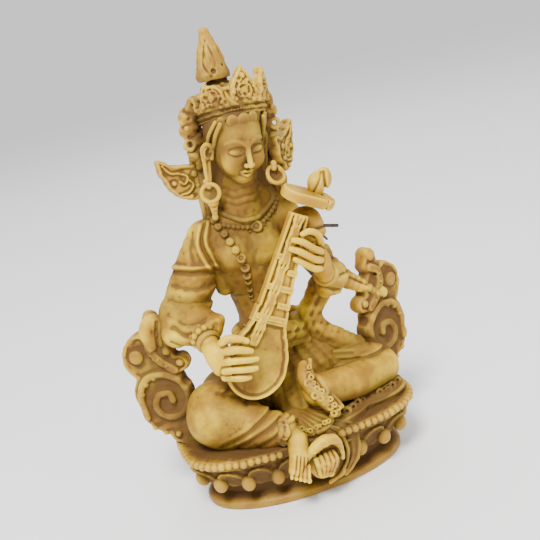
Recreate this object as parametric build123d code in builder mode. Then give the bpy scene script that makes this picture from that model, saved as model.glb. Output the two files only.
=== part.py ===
"""Seated deity with a long-necked lute on an oval lotus plinth: a cast resin statuette, 140 mm tall.

Millimetres. +Z is up, -Y is the way the figure faces, +X is the figure's own left.
The origin is the middle of the plinth's flat underside.
The figure is described by an armature of named points, and each sculpted mass is a separate piece
that is cut to sit face to face against the pieces before it.
"""

from build123d import *

import math
import os

# ---------------------------------------------------------------- driving dimensions
HEIGHT = 140.0
PLATFORM_TOP = 20.0

# Plinth outlines: half length, half depth, squareness (2 is an ellipse, more is boxier)
FOOT = (32.5, 18.5, 2.1)
WAIST = (27.5, 14.5, 2.2)
BED_LOW = (30.5, 17.0, 2.4)
BED_TOP = (35.5, 21.0, 2.8)
PLATFORM = (36.5, 22.0, 3.0)
FOOT_HEIGHT = 3.4
WAIST_BOTTOM = 4.8
WAIST_TOP = 8.2
BED_HEIGHT = 17.0

PETALS = 20
PETAL_WIDTH = 8.4
PETAL_HEIGHT = 7.6
PETAL_THICKNESS = 1.5
BUD_RADIUS = 2.1
RIM_BEADS = 92
RIM_BEAD_RADIUS = 1.05

# Share of a piece's largest solid under which a cut-off remainder is a crumb
CRUMB_SHARE = 0.04

# Armature of the figure
HEAD = Vector(1.0, 1.0, 107.0)
NECK_TOP = Vector(-0.5, 2.5, 97.5)
NECK_BASE = Vector(-2.5, 4.5, 85.0)
CHEST = Vector(-2.5, 5.5, 74.0)
WAISTLINE = Vector(-1.5, 7.0, 53.0)
SEAT = Vector(0.0, 7.0, PLATFORM_TOP)
SHOULDER_RIGHT = Vector(-15.0, 5.5, 82.0)
ELBOW_RIGHT = Vector(-28.0, 3.0, 61.5)
WRIST_RIGHT = Vector(-23.0, -11.0, 53.8)
SHOULDER_LEFT = Vector(11.5, 6.0, 82.0)
ELBOW_LEFT = Vector(22.5, 3.5, 57.0)
WRIST_LEFT = Vector(17.0, -8.0, 65.0)
HIP_RIGHT = Vector(-11.0, 6.0, 31.0)
KNEE_RIGHT = Vector(-24.5, -6.0, 29.0)
ANKLE_RIGHT = Vector(-8.0, -18.5, 24.5)
HIP_LEFT = Vector(11.0, 6.0, 30.0)
KNEE_LEFT = Vector(29.0, -3.5, 27.0)
ANKLE_LEFT = Vector(5.5, -14.0, 31.5)
TOE_RIGHT = Vector(-10.5, -26.5, 12.0)

LOTUS_CENTRE = Vector(0.0, -22.5, 13.0)

# Lute: it leans across the figure, and its soundboard faces the front
LUTE_TAIL = Vector(-15.3, -15.5, 36.0)
LUTE_LEAN = 29.8
LUTE_BOWL_LENGTH = 23.0
LUTE_BOWL_WIDTH = 17.6
LUTE_WAIST_WIDTH = 10.2
LUTE_NECK_END = 55.0
LUTE_NECK_END_WIDTH = 5.4
LUTE_BOWL_DEPTH = 5.5
LUTE_BOWL_INSET = 2.0
SOUNDBOARD_THICKNESS = 1.2
NECK_THICKNESS = 2.6
NECK_PROUD = 0.4
STRING_RADIUS = 0.45
STRING_START = 11.0
STRING_SPREAD_LOW = 1.3
STRING_SPREAD_HIGH = 0.9
BRIDGE_PLACE = 10.0
BRIDGE_SIZE = (5.4, 1.8, 1.4)
FRET_PLACES = range(26, 52, 5)
FRET_WIDTH = 0.9
FRET_HEIGHT = 0.7
PEGBOX_RADIUS = 5.0
HEADSTOCK_CENTRE = Vector(16.2, -10.8, 87.6)
HEADSTOCK_RADII = (8.4, 4.6)
HEADSTOCK_THICKNESS = 3.4
HEADSTOCK_ROUNDING = 0.6
FINIAL_RADII = (3.0, 1.6)
PIN_RADIUS = 0.5
PIN_LENGTH = 8.0

# Head ornament
CROWN_CENTRE = Vector(1.6, 2.0, 114.5)
CROWN_RADII = (10.6, 10.2)
CROWN_BAND_HEIGHT = 3.0
SPIRE_BASE = Vector(-0.2, 4.0, 125.5)
SPIRE_RADIUS = 4.7
SPIRE_TIP_RADIUS = 1.3

# Cloud scrolls that stand at both ends of the plinth
SCROLL_MIDDLE = Vector(36.5, 6.5, 0.0)
SCROLL_TURN = 24.0
SCROLL_THICKNESS = 4.4

# Each joint of a limb is a ball a little wider than the cones that meet in it
JOINT_SWELL = 1.03

# Radii along each limb, from its root to its end
NECK_RADII = (4.6, 4.0)
LEG_RADII = {"right": (8.9, 8.3, 4.7), "left": (8.6, 6.9, 4.4)}
RIGHT_SLEEVE_RADII = (5.4, 5.9)
LEFT_SLEEVE_RADII = (5.2, 4.6)
RIGHT_CUFF_RADII = (6.6, 5.2)
LEFT_CUFF_RADII = (5.4, 4.6)
RIGHT_FOREARM_RADII = (4.4, 2.7)
LEFT_FOREARM_RADII = (4.0, 2.7)
FOOT_RADII = (3.0, 2.8, 2.0)
RIGHT_PALM_RADII = (2.6, 3.6)
LEFT_PALM_RADII = (2.6, 3.4)
RIGHT_FINGER_RADII = (1.25, 1.1, 0.95)
LEFT_FINGER_RADII = (1.2, 1.05, 0.95)
BRACELET_RADIUS = 3.0
BRACELET_THICKNESS = 0.9

# Body levels: centre, x radius and y radius of the ellipse at each height
HIP_TOP = (SEAT + (-0.5, 0, 22), 10.5, 8.5)
HIP_LEVELS = ((SEAT, 17.0, 12.5), (SEAT + (0, 0, 11), 16.5, 12.0), HIP_TOP)
TORSO_LEVELS = (
    HIP_TOP,
    (WAISTLINE, 8.0, 6.2),
    (CHEST, 11.0, 7.6),
    (Vector(-2.5, 5.5, 83.0), 10.5, 6.4),
    (Vector(-2.5, 5.0, 88.0), 5.6, 4.8),
)
BACK_HAIR_LEVELS = (
    (Vector(-1.5, 12.0, 62.0), 5.0, 2.6),
    (Vector(-1.5, 11.5, 80.0), 8.0, 3.0),
    (Vector(0.0, 9.0, 96.0), 8.6, 4.0),
    (Vector(0.6, 6.5, 108.0), 8.8, 5.2),
)

# Head and hair
CHIN_DROP = 11.5
CROWN_RISE = 11.0
CHEEK = (7.6, 1.5)
HEAD_TURN = (8, -4, 10)
HAIR_CAP_RADIUS = 9.3
TOPKNOT_RADII = (6.0, 4.9)
ROSETTE_RADII = (2.6, 3.2, 2.5)
TRESS_RADII = (2.2, 2.6, 2.4)

# Shapes that stand on their own base
STANDING = (Align.CENTER, Align.CENTER, Align.MIN)

pieces = {}
cutters = {}


# ---------------------------------------------------------------- helpers
def oval(half_length, half_depth, squareness, points=24):
    """Closed superellipse: the outline that every level of the plinth shares."""
    around = []
    for step in range(points):
        angle = 2 * math.pi * (step + 0.5) / points
        c, s = math.cos(angle), math.sin(angle)
        x = half_length * math.copysign(abs(c) ** (2 / squareness), c)
        y = half_depth * math.copysign(abs(s) ** (2 / squareness), s)
        around.append((x, y))
    Spline(*around, periodic=True)


def tier(levels):
    """Plinth tier: ovals at rising heights, joined by straight walls."""
    with BuildPart() as made:
        for height, outline in levels:
            with BuildSketch(Plane.XY.offset(height)):
                with BuildLine():
                    oval(*outline)
                make_face()
        loft(ruled=True)
    return made


def rim_places(outline, height, count):
    """Evenly spaced points along an oval, each with its outward direction."""
    with BuildLine(Plane.XY.offset(height)) as rim:
        oval(*outline)
    edge = rim.line.edges()[0]
    for step in range(count):
        share = step / count
        along = edge % share
        outward = Vector(along.Y, -along.X, 0)
        point = edge @ share
        if outward.dot(Vector(point.X, point.Y, 0)) < 0:
            outward = -outward
        yield point, outward.normalized()


def add_limb(points, radii):
    """Rounded chain of cones through the points, added to the part that is being built."""
    for centre, radius in zip(points, radii):
        with Locations(centre):
            Sphere(radius * JOINT_SWELL)
    for start, end, start_radius, end_radius in zip(points, points[1:], radii, radii[1:]):
        reach = Vector(end) - Vector(start)
        with Locations(Plane(origin=start, z_dir=reach)):
            if abs(start_radius - end_radius) < 1e-3:
                Cylinder(start_radius, reach.length, align=STANDING)
            else:
                Cone(start_radius, end_radius, reach.length, align=STANDING)


def limb(points, radii):
    with BuildPart() as made:
        add_limb(points, radii)
    return made


def loft_through(levels):
    """Soft body mass: ellipses (centre, x radius, y radius) at rising heights."""
    with BuildPart() as made:
        for centre, x_radius, y_radius in levels:
            with BuildSketch(Plane.XY.offset(centre.Z)):
                with Locations((centre.X, centre.Y)):
                    Ellipse(x_radius, y_radius)
        loft()
    return made


def beads(points, radius):
    """Separate beads in one node."""
    with BuildPart() as made:
        with Locations(*points):
            Sphere(radius)
    return made


def ring(centre, axis, radius, thickness):
    with BuildPart() as made:
        with Locations(Plane(origin=centre, z_dir=axis)):
            Torus(radius, thickness)
    return made


def between(start, end, share):
    return start + (end - start) * share


def boxes_meet(a, b):
    return all(
        low_a <= high_b and low_b <= high_a
        for low_a, high_a, low_b, high_b in zip(tuple(a.min), tuple(a.max), tuple(b.min), tuple(b.max))
    )


def keep_piece(name, piece):
    """Stores a piece as it is. Small trim stored this way is never used to cut a later piece."""
    piece.part.label = name
    pieces[name] = piece


def seat(name, piece):
    """Stores a piece, cut back by the pieces before it, without the crumbs that a cut leaves behind."""
    whole = piece.part
    box = whole.bounding_box()
    with BuildPart() as seated:
        add(whole)
        for earlier, earlier_box in cutters.values():
            if boxes_meet(box, earlier_box):
                add(earlier.part, mode=Mode.SUBTRACT)
    solids = seated.part.solids()
    largest = max(abs(solid.volume) for solid in solids)
    with BuildPart() as kept:
        for solid in solids:
            if abs(solid.volume) > CRUMB_SHARE * largest:
                add(solid)
    keep_piece(name, kept)
    cutters[name] = (kept, kept.part.bounding_box())


# ---------------------------------------------------------------- plinth
seat(
    "plinth_foot",
    tier([(0, FOOT), (FOOT_HEIGHT, FOOT), (WAIST_BOTTOM, WAIST)]),
)
seat("plinth_waist", tier([(WAIST_BOTTOM, WAIST), (WAIST_TOP, WAIST)]))
seat("lotus_bed", tier([(WAIST_TOP, BED_LOW), (BED_HEIGHT, BED_TOP)]))
seat("platform", tier([(BED_HEIGHT, BED_TOP), (PLATFORM_TOP - 1.0, PLATFORM), (PLATFORM_TOP, PLATFORM)]))

BED_SLOPE = math.degrees(math.atan2(BED_TOP[1] - BED_LOW[1], BED_HEIGHT - WAIST_TOP))
BED_MIDDLE = tuple((low + top) / 2 for low, top in zip(BED_LOW, BED_TOP))


def petal_planes():
    """Upright planes on the lotus bed's sloping wall, facing outward, X along the wall."""
    for point, outward in rim_places(BED_MIDDLE, (WAIST_TOP + BED_HEIGHT) / 2, PETALS):
        along = Vector(-outward.Y, outward.X, 0)
        facing = outward.rotate(Axis((0, 0, 0), along), BED_SLOPE)
        yield Plane(origin=point, x_dir=along, z_dir=facing)


with BuildPart() as lotus_petals:
    for plane in petal_planes():
        with BuildSketch(plane):
            with Locations((0, -PETAL_HEIGHT / 10)):
                RectangleRounded(PETAL_WIDTH, PETAL_HEIGHT, PETAL_WIDTH * 0.42)
        extrude(amount=PETAL_THICKNESS, both=True)
seat("lotus_petals", lotus_petals)


def clear_of_lotus(point, gap):
    """True where the small lotus and the foot on it leave the plinth's wall bare."""
    return math.hypot(point.X - LOTUS_CENTRE.X + 2.0, point.Y - LOTUS_CENTRE.Y) > gap


with BuildPart() as petal_buds:
    for plane in petal_planes():
        if clear_of_lotus(plane.origin, 13.5):
            with Locations(plane.offset(PETAL_THICKNESS).location * Location((0, -PETAL_HEIGHT * 0.22, 0))):
                Sphere(BUD_RADIUS, arc_size1=0, align=STANDING)
keep_piece("petal_buds", petal_buds)

rim_points = [
    point + outward * RIM_BEAD_RADIUS
    for point, outward in rim_places(PLATFORM, PLATFORM_TOP - RIM_BEAD_RADIUS, RIM_BEADS)
    if clear_of_lotus(point, 11.0)
]
keep_piece("rim_beads", beads(rim_points, RIM_BEAD_RADIUS))

# ---------------------------------------------------------------- body
seat("hips", loft_through(HIP_LEVELS))
seat("torso", loft_through(TORSO_LEVELS))
seat("neck", limb([NECK_BASE, NECK_TOP], NECK_RADII))

with BuildPart() as head:
    with BuildSketch(Plane.XZ):
        with BuildLine():
            chin, crown = (0, -CHIN_DROP), (0, CROWN_RISE)
            Spline(chin, CHEEK, crown, tangents=((1, 0.12), (-1, 0)))
            Line(crown, chin)
        make_face()
    revolve(axis=Axis.Z)
head.part = head.part.moved(Location(HEAD, HEAD_TURN))
seat("head", head)

with BuildPart() as hair_cap:
    with Locations(HEAD + (-0.2, 2.2, 2.5)):
        Sphere(HAIR_CAP_RADIUS)
    split(bisect_by=Plane(origin=HEAD + (0, -3.0, 0), z_dir=(0, 1, -0.35)), keep=Keep.TOP)
seat("hair_cap", hair_cap)

# ---------------------------------------------------------------- legs
for side, joints in (
    ("right", (HIP_RIGHT, KNEE_RIGHT, ANKLE_RIGHT)),
    ("left", (HIP_LEFT, KNEE_LEFT, ANKLE_LEFT)),
):
    with BuildPart() as leg:
        add_limb(joints, LEG_RADII[side])
        split(bisect_by=Plane.XY.offset(PLATFORM_TOP), keep=Keep.TOP)
    seat(f"{side}_leg", leg)

# ---------------------------------------------------------------- arms
seat("right_sleeve", limb([SHOULDER_RIGHT, ELBOW_RIGHT], RIGHT_SLEEVE_RADII))
seat("left_sleeve", limb([SHOULDER_LEFT, ELBOW_LEFT], LEFT_SLEEVE_RADII))
seat("right_forearm", limb([ELBOW_RIGHT, WRIST_RIGHT], RIGHT_FOREARM_RADII))
seat("left_forearm", limb([ELBOW_LEFT, WRIST_LEFT], LEFT_FOREARM_RADII))

# ---------------------------------------------------------------- lute
LUTE_PLANE = Plane(
    origin=LUTE_TAIL,
    x_dir=Vector(math.cos(math.radians(LUTE_LEAN)), 0, -math.sin(math.radians(LUTE_LEAN))),
    z_dir=Vector(-0.02, -1, 0.05),
)


def lute_outline(inset=0.0):
    """Pear-shaped bowl from its tail to where the neck starts, Y along the lute."""
    half_bowl, half_waist = LUTE_BOWL_WIDTH / 2 - inset, LUTE_WAIST_WIDTH / 2 - inset
    top = LUTE_BOWL_LENGTH - inset
    widest = LUTE_BOWL_LENGTH * 0.4
    Spline(
        (half_waist, top),
        (half_bowl, widest),
        (0, inset),
        (-half_bowl, widest),
        (-half_waist, top),
        tangents=((0.35, -1), (0.35, 1)),
    )
    Line((-half_waist, top), (half_waist, top))


with BuildPart() as lute_soundboard:
    with BuildSketch(LUTE_PLANE):
        with BuildLine():
            lute_outline()
        make_face()
    extrude(amount=-SOUNDBOARD_THICKNESS)
seat("lute_soundboard", lute_soundboard)

with BuildPart() as lute_bowl:
    with BuildSketch(LUTE_PLANE.offset(-SOUNDBOARD_THICKNESS)):
        with BuildLine():
            lute_outline()
        make_face()
    with BuildSketch(LUTE_PLANE.offset(-SOUNDBOARD_THICKNESS - LUTE_BOWL_DEPTH)):
        with BuildLine():
            lute_outline(LUTE_BOWL_INSET)
        make_face()
    loft(ruled=True)
seat("lute_bowl", lute_bowl)

with BuildPart() as lute_neck:
    with BuildSketch(LUTE_PLANE.offset(NECK_PROUD)):
        with BuildLine():
            low, high = LUTE_WAIST_WIDTH / 2, LUTE_NECK_END_WIDTH / 2
            Polyline(
                (-low, LUTE_BOWL_LENGTH - 1),
                (low, LUTE_BOWL_LENGTH - 1),
                (high, LUTE_NECK_END),
                (-high, LUTE_NECK_END),
                close=True,
            )
        make_face()
    extrude(amount=-NECK_THICKNESS)
seat("lute_neck", lute_neck)

with BuildPart() as lute_strings:
    string_plane = LUTE_PLANE.offset(NECK_PROUD + STRING_RADIUS + 0.1)
    for share in (-1, 0, 1):
        start = string_plane.from_local_coords(Vector(share * STRING_SPREAD_LOW, STRING_START, 0))
        end = string_plane.from_local_coords(Vector(share * STRING_SPREAD_HIGH, LUTE_NECK_END - 1, 0))
        with Locations(Plane(origin=start, z_dir=end - start)):
            Cylinder(STRING_RADIUS, (end - start).length, align=STANDING)
seat("lute_strings", lute_strings)

with BuildPart() as lute_frets:
    with Locations(LUTE_PLANE.location * Location((0, BRIDGE_PLACE, BRIDGE_SIZE[2] / 2 - 0.1))):
        Box(*BRIDGE_SIZE)
    for along in FRET_PLACES:
        share = (along - LUTE_BOWL_LENGTH) / (LUTE_NECK_END - LUTE_BOWL_LENGTH)
        width = LUTE_WAIST_WIDTH + (LUTE_NECK_END_WIDTH - LUTE_WAIST_WIDTH) * share
        with Locations(LUTE_PLANE.location * Location((0, along, 0.5))):
            Box(width, FRET_WIDTH, FRET_HEIGHT)
seat("lute_frets", lute_frets)

PEGBOX_CENTRE = LUTE_PLANE.from_local_coords(Vector(3.0, LUTE_NECK_END - 3.0, -4.5))
with BuildPart() as lute_pegbox:
    with Locations(PEGBOX_CENTRE):
        Sphere(PEGBOX_RADIUS)
    split(bisect_by=LUTE_PLANE.offset(-1.5), keep=Keep.BOTTOM)
seat("lute_pegbox", lute_pegbox)

HEADSTOCK_PLANE = Plane(origin=HEADSTOCK_CENTRE, x_dir=(0.93, 0.22, -0.33), z_dir=(0.3, -0.25, 0.92))
with BuildPart() as lute_headstock:
    with BuildSketch(HEADSTOCK_PLANE):
        Ellipse(*HEADSTOCK_RADII)
    extrude(amount=HEADSTOCK_THICKNESS / 2, both=True)
    fillet(lute_headstock.edges(), radius=HEADSTOCK_ROUNDING)
seat("lute_headstock", lute_headstock)

FINIAL_BASE = HEADSTOCK_PLANE.from_local_coords(Vector(3.8, 1.0, HEADSTOCK_THICKNESS / 2))
seat("headstock_finial", limb([FINIAL_BASE, FINIAL_BASE + (1.8, 1.2, 4.6)], FINIAL_RADII))

PIN_DIRECTION = Vector(0.96, 0.05, -0.27)
PIN_START = Vector(16.2, -8.2, 78.6)
with BuildPart() as tuning_pins:
    with Locations(Plane(origin=PIN_START, z_dir=PIN_DIRECTION)):
        Cylinder(PIN_RADIUS, PIN_LENGTH, align=STANDING)
    with Locations(Plane(origin=PIN_START + (0.8, 0.6, -3.2), z_dir=PIN_DIRECTION)):
        Cylinder(PIN_RADIUS, PIN_LENGTH / 2, align=STANDING)
seat("tuning_pins", tuning_pins)

# ---------------------------------------------------------------- hands
# Right hand: the palm lies over the bowl's edge and the fingers reach across the soundboard
RIGHT_PALM = WRIST_RIGHT + (4.0, -5.0, -2.6)
RIGHT_FINGERS = [
    [(1.0, -2.2, 3.0), (5.4, -3.2, 3.0), (8.6, -2.6, 2.2)],
    [(2.2, -2.2, 0.8), (6.2, -3.6, 0.4), (9.4, -2.6, -0.4)],
    [(2.0, -2.0, -1.4), (6.0, -3.4, -2.0), (9.0, -2.4, -2.6)],
    [(1.4, -1.6, -3.4), (4.8, -3.0, -4.2), (7.6, -2.2, -4.8)],
]
with BuildPart() as right_hand:
    add_limb([WRIST_RIGHT, RIGHT_PALM], RIGHT_PALM_RADII)
    for finger in RIGHT_FINGERS:
        add_limb([RIGHT_PALM + Vector(joint) for joint in finger], RIGHT_FINGER_RADII)
seat("right_hand", right_hand)

# Left hand: the fingers curl over the neck from the figure's left
LEFT_PALM = WRIST_LEFT + (-1.5, -2.6, 5.0)
LEFT_FINGERS = [
    [(0.8, -1.4, 3.2), (-1.6, -4.2, 6.2), (-6.2, -4.2, 7.6)],
    [(0.0, -2.4, 1.8), (-3.4, -5.0, 4.0), (-8.0, -4.4, 5.4)],
    [(-0.6, -2.6, 0.0), (-4.2, -5.0, 1.6), (-8.2, -4.2, 3.0)],
    [(-0.8, -2.4, -2.0), (-4.2, -4.6, -0.8), (-7.4, -4.0, 0.6)],
]
with BuildPart() as left_hand:
    add_limb([WRIST_LEFT, LEFT_PALM], LEFT_PALM_RADII)
    for finger in LEFT_FINGERS:
        add_limb([LEFT_PALM + Vector(joint) for joint in finger], LEFT_FINGER_RADII)
seat("left_hand", left_hand)

with BuildPart() as bracelets:
    for elbow, wrist in ((ELBOW_RIGHT, WRIST_RIGHT), (ELBOW_LEFT, WRIST_LEFT)):
        with Locations(Plane(origin=between(elbow, wrist, 0.93), z_dir=wrist - elbow)):
            Torus(BRACELET_RADIUS, BRACELET_THICKNESS)
seat("bracelets", bracelets)

# ---------------------------------------------------------------- foot and its lotus
with BuildPart() as foot_lotus:
    add_limb([LOTUS_CENTRE, LOTUS_CENTRE + (1.0, -1.5, -3.0)], [5.6, 3.6])
seat("foot_lotus", foot_lotus)
HEEL_RIGHT = ANKLE_RIGHT + (1.4, -2.6, -1.4)
INSTEP_RIGHT = between(ANKLE_RIGHT, TOE_RIGHT, 0.5) + (0, -1.4, 0)
seat("right_foot", limb([HEEL_RIGHT, INSTEP_RIGHT, TOE_RIGHT], FOOT_RADII))
with BuildPart() as lotus_ribbon:
    for radius in (8.2, 11.0):
        with Locations(Plane(origin=LOTUS_CENTRE + (1.5, 0.6, 0), z_dir=(0.25, -1, 0.1))):
            Torus(radius, 1.1)
    split(bisect_by=Plane(origin=LOTUS_CENTRE + (2.0, 0, 0), z_dir=(1, 0, 0.35)), keep=Keep.TOP)
    split(bisect_by=Plane.XY.offset(FOOT_HEIGHT), keep=Keep.TOP)
seat("lotus_ribbon", lotus_ribbon)

# ---------------------------------------------------------------- drapery
cuff_end = between(ELBOW_RIGHT, WRIST_RIGHT, 0.32)
seat("right_cuff", limb([ELBOW_RIGHT + (-1.0, 0, -1.0), cuff_end + (-1.5, -0.5, -2.6)], RIGHT_CUFF_RADII))
seat("left_cuff", limb([ELBOW_LEFT, between(ELBOW_LEFT, WRIST_LEFT, 0.45)], LEFT_CUFF_RADII))

# The left scarf has a ribbon out to the scroll and a drape down to the thigh
RIBBON_PATH = [ELBOW_LEFT + (1.5, 0.5, 4.0), Vector(29.0, 5.0, 53.0), Vector(33.5, 6.0, 49.0)]
DRAPE_PATH = [
    ELBOW_LEFT + (-3.0, 2.0, -3.0),
    Vector(19.5, 4.0, 46.0),
    Vector(24.5, 3.5, 41.0),
    Vector(30.5, 3.5, 38.5),
]
with BuildPart() as left_scarf:
    add_limb(RIBBON_PATH, [2.6, 2.0, 2.2])
    add_limb(DRAPE_PATH, [3.0, 2.4, 2.2, 2.2])
seat("left_scarf", left_scarf)
with BuildPart() as right_scarf:
    add_limb([Vector(-24.0, 5.5, 46.0), Vector(-28.0, 2.0, 41.0), Vector(-28.5, 0.0, 37.0)], [1.8, 2.0, 2.0])
seat("right_scarf", right_scarf)

seat("waist_sash", ring(WAISTLINE + (0.2, 0, -7.5), (0, -0.15, 1), 9.0, 1.9))

PLEATS = 6
with BuildPart() as skirt_pleats:
    for step in range(PLEATS):
        reach = Vector(-5.5 + 2.9 * step, -20.6 + 1.0 * step, PLATFORM_TOP + 1.0)
        add_limb([Vector(-3.0 + 1.4 * step, -6.0, PLATFORM_TOP + 5.0), reach], [1.7, 1.6])
    split(bisect_by=Plane.XY.offset(PLATFORM_TOP), keep=Keep.TOP)
seat("skirt_pleats", skirt_pleats)

LEFT_HEM_PATH = [ANKLE_LEFT + (-2.2, 1.6, 5.0), ANKLE_LEFT + (0.2, -3.0, 0), ANKLE_LEFT + (3.2, -5.2, -5.2)]
seat("left_hem", limb(LEFT_HEM_PATH, [2.2, 2.5, 2.4]))

RIGHT_HEM_PATH = [
    ANKLE_RIGHT + (-0.6, 1.4, 5.0),
    ANKLE_RIGHT + (0.8, -0.8, 1.0),
    ANKLE_RIGHT + (-1.8, -1.6, -3.4),
]
with BuildPart() as right_hem:
    add_limb(RIGHT_HEM_PATH, [2.0, 3.6, 2.2])
    split(bisect_by=Plane.XY.offset(PLATFORM_TOP - 0.6), keep=Keep.TOP)
seat("right_hem", right_hem)

BORDER_HEIGHT = PLATFORM_TOP + 1.2
BORDER_TURNS = ((9.5, -16.0), (18.0, -13.0), (25.0, -14.0), (32.0, -10.5))
BORDER_PATH = [Vector(x, y, BORDER_HEIGHT) for x, y in BORDER_TURNS]
with BuildPart() as skirt_border:
    add_limb(BORDER_PATH, [1.9, 1.8, 1.9, 1.9])
    split(bisect_by=Plane.XY.offset(PLATFORM_TOP), keep=Keep.TOP)
seat("skirt_border", skirt_border)

# ---------------------------------------------------------------- cloud scrolls
SCROLL_HEIGHTS = (28.0, 36.8, 49.8, 59.0)
SCROLL_SWING = (-1.0, 0.0, 1.8, -1.6)
SCROLL_LOBES = (7.2, 8.8, 7.4, 3.6)
SCROLL_INNER_LOBE = (-3.0, 42.5)
SCROLL_INNER_RADIUS = 6.0


def scroll(side):
    """Plate of four round lobes, the cloud shape that flanks the figure. Side is 1 or -1."""
    middle = Vector(side * SCROLL_MIDDLE.X, SCROLL_MIDDLE.Y, 0)
    turn = math.radians(SCROLL_TURN)
    along = Vector(math.cos(turn), side * math.sin(turn), 0)
    face = Plane(origin=middle, x_dir=along, z_dir=(along.Y, -along.X, 0))
    with BuildPart() as made:
        with BuildSketch(face):
            for height, swing, radius in zip(SCROLL_HEIGHTS, SCROLL_SWING, SCROLL_LOBES):
                with Locations((side * swing, height)):
                    Circle(radius)
            with Locations((side * SCROLL_INNER_LOBE[0], SCROLL_INNER_LOBE[1])):
                Circle(SCROLL_INNER_RADIUS)
        extrude(amount=SCROLL_THICKNESS / 2, both=True)
        split(bisect_by=Plane.XY.offset(PLATFORM_TOP), keep=Keep.TOP)
    return made


seat("right_scroll", scroll(-1))
seat("left_scroll", scroll(1))

# ---------------------------------------------------------------- head ornament
with BuildPart() as crown_band:
    with BuildSketch(Plane(origin=CROWN_CENTRE, z_dir=(0.0, -0.12, 1))):
        Ellipse(*CROWN_RADII)
    extrude(amount=CROWN_BAND_HEIGHT / 2, both=True)
seat("crown_band", crown_band)

LEAF_ANGLES = (-75, -38, 0, 38, 75)
LEAF_HEIGHTS = (8.0, 9.5, 12.0, 9.5, 8.0)
LEAF_HALF_WIDTH = 3.5
LEAF_THICKNESS = 2.2
with BuildPart() as crown_leaves:
    for angle, height in zip(LEAF_ANGLES, LEAF_HEIGHTS):
        turned = math.radians(angle)
        outward = Vector(math.sin(turned), -math.cos(turned), 0)
        root = CROWN_CENTRE + (outward.X * CROWN_RADII[0] * 0.93, outward.Y * CROWN_RADII[1] * 0.93, 1.0)
        along = Vector(math.cos(turned), math.sin(turned), 0)
        with BuildSketch(Plane(origin=root, x_dir=along, z_dir=outward + Vector(0, 0, 0.1))):
            with BuildLine():
                foot, bulge, tip = (LEAF_HALF_WIDTH, 0), (LEAF_HALF_WIDTH * 0.8, height * 0.55), (0, height)
                Spline((-foot[0], 0), (-bulge[0], bulge[1]), tip)
                Spline(tip, bulge, foot)
                Line(foot, (-foot[0], 0))
            make_face()
        extrude(amount=LEAF_THICKNESS / 2, both=True)
seat("crown_leaves", crown_leaves)

seat("topknot", limb([HEAD + (-1.0, 2.6, 8.0), SPIRE_BASE + (0, -0.3, -0.6)], TOPKNOT_RADII))
SPIRE_TIP = Vector(SPIRE_BASE.X, SPIRE_BASE.Y, HEIGHT - SPIRE_TIP_RADIUS)
with BuildPart() as hair_spire:
    with Locations(SPIRE_BASE):
        Cone(SPIRE_RADIUS, SPIRE_TIP_RADIUS, (SPIRE_TIP - SPIRE_BASE).length, align=STANDING)
    with Locations(SPIRE_TIP):
        Sphere(SPIRE_TIP_RADIUS)
seat("hair_spire", hair_spire)

SIDES = (-1, 1)
EARRING_RADIUS = 2.9
EARRING_DEPTH = 3.0
EARRING_DISH_RADIUS = 1.7
EARRING_DISH_DEPTH = 1.2
FAN_OUTLINE = ((0, 5.0), (3.5, 4.2), (10.5, 8.4), (6.0, 0.0), (0, -6.4))
FAN_THICKNESS = 2.6


def ear_at(side):
    return Vector(HEAD.X + side * 7.8, 2.5, 103.5)


with BuildPart() as hair_rosettes:
    for side in SIDES:
        root = Vector(HEAD.X + side * 10.6, 4.5, 105.5)
        column = [root + (0, 0, 10.5), root + (side * 1.4, 0.5, 5.5), root + (side * 0.6, 1.0, 0)]
        add_limb(column, ROSETTE_RADII)
seat("hair_rosettes", hair_rosettes)

with BuildPart() as ears:
    for side in SIDES:
        add_limb([ear_at(side), ear_at(side) + (side * 0.8, 0.3, -6.0)], [2.1, 1.4])
seat("ears", ears)

with BuildPart() as earrings:
    for side in SIDES:
        drop = ear_at(side) + (side * 1.4 + 0.3, -2.2, -9.0)
        with Locations(Plane(origin=drop, z_dir=(side * 0.25, -1, 0.1))):
            Cylinder(EARRING_RADIUS, EARRING_DEPTH)
            Hole(EARRING_DISH_RADIUS, depth=EARRING_DISH_DEPTH)
        add_limb([drop + (0, 0, -3.4), drop + (0, 0, -6.4)], [1.7, 0.9])
seat("earrings", earrings)

for side, name in zip(SIDES, ("right_tress", "left_tress")):
    ear = ear_at(side)
    lock = [ear + (side * 1.0, 2.6, 3.0), ear + (side * 2.6, 3.0, -8.0), ear + (side * 4.8, 2.6, -18.0)]
    seat(name, limb(lock, TRESS_RADII))

with BuildPart() as side_fans:
    for side in SIDES:
        root = Vector(HEAD.X + side * 12.0, 5.5, 99.0)
        along = Vector(0.93 * side, 0.37, 0)
        with BuildSketch(Plane(origin=root, x_dir=along, z_dir=(along.Y, -along.X, 0))):
            with BuildLine():
                Polyline(*FAN_OUTLINE, close=True)
            make_face()
        extrude(amount=FAN_THICKNESS / 2, both=True)
seat("side_fans", side_fans)

seat("back_hair", loft_through(BACK_HAIR_LEVELS))

# ---------------------------------------------------------------- jewellery
COLLAR_CENTRE = NECK_BASE + (0.5, -0.9, 2.2)
COLLAR_RADIUS = 6.6
COLLAR_THICKNESS = 1.0
NECKLACE_BEADS = 11
NECKLACE_BEAD_RADIUS = 0.85
NECKLACE_SAG = 4.6
LONG_BEADS = 12
LONG_BEAD_RADIUS = 1.15
CHEST_BULGE = 2.6
PENDANT_PLANE = Plane(origin=(-1.4, -3.6, 81.4), z_dir=(0, -1, 0.25))
PENDANT_RADIUS = 1.9
PENDANT_DEPTH = 1.8
PENDANT_HOLE_RADIUS = 0.9
PENDANT_HOLE_DEPTH = 0.8
seat("collar", ring(COLLAR_CENTRE, (0, -0.4, 1), COLLAR_RADIUS, COLLAR_THICKNESS))


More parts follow.
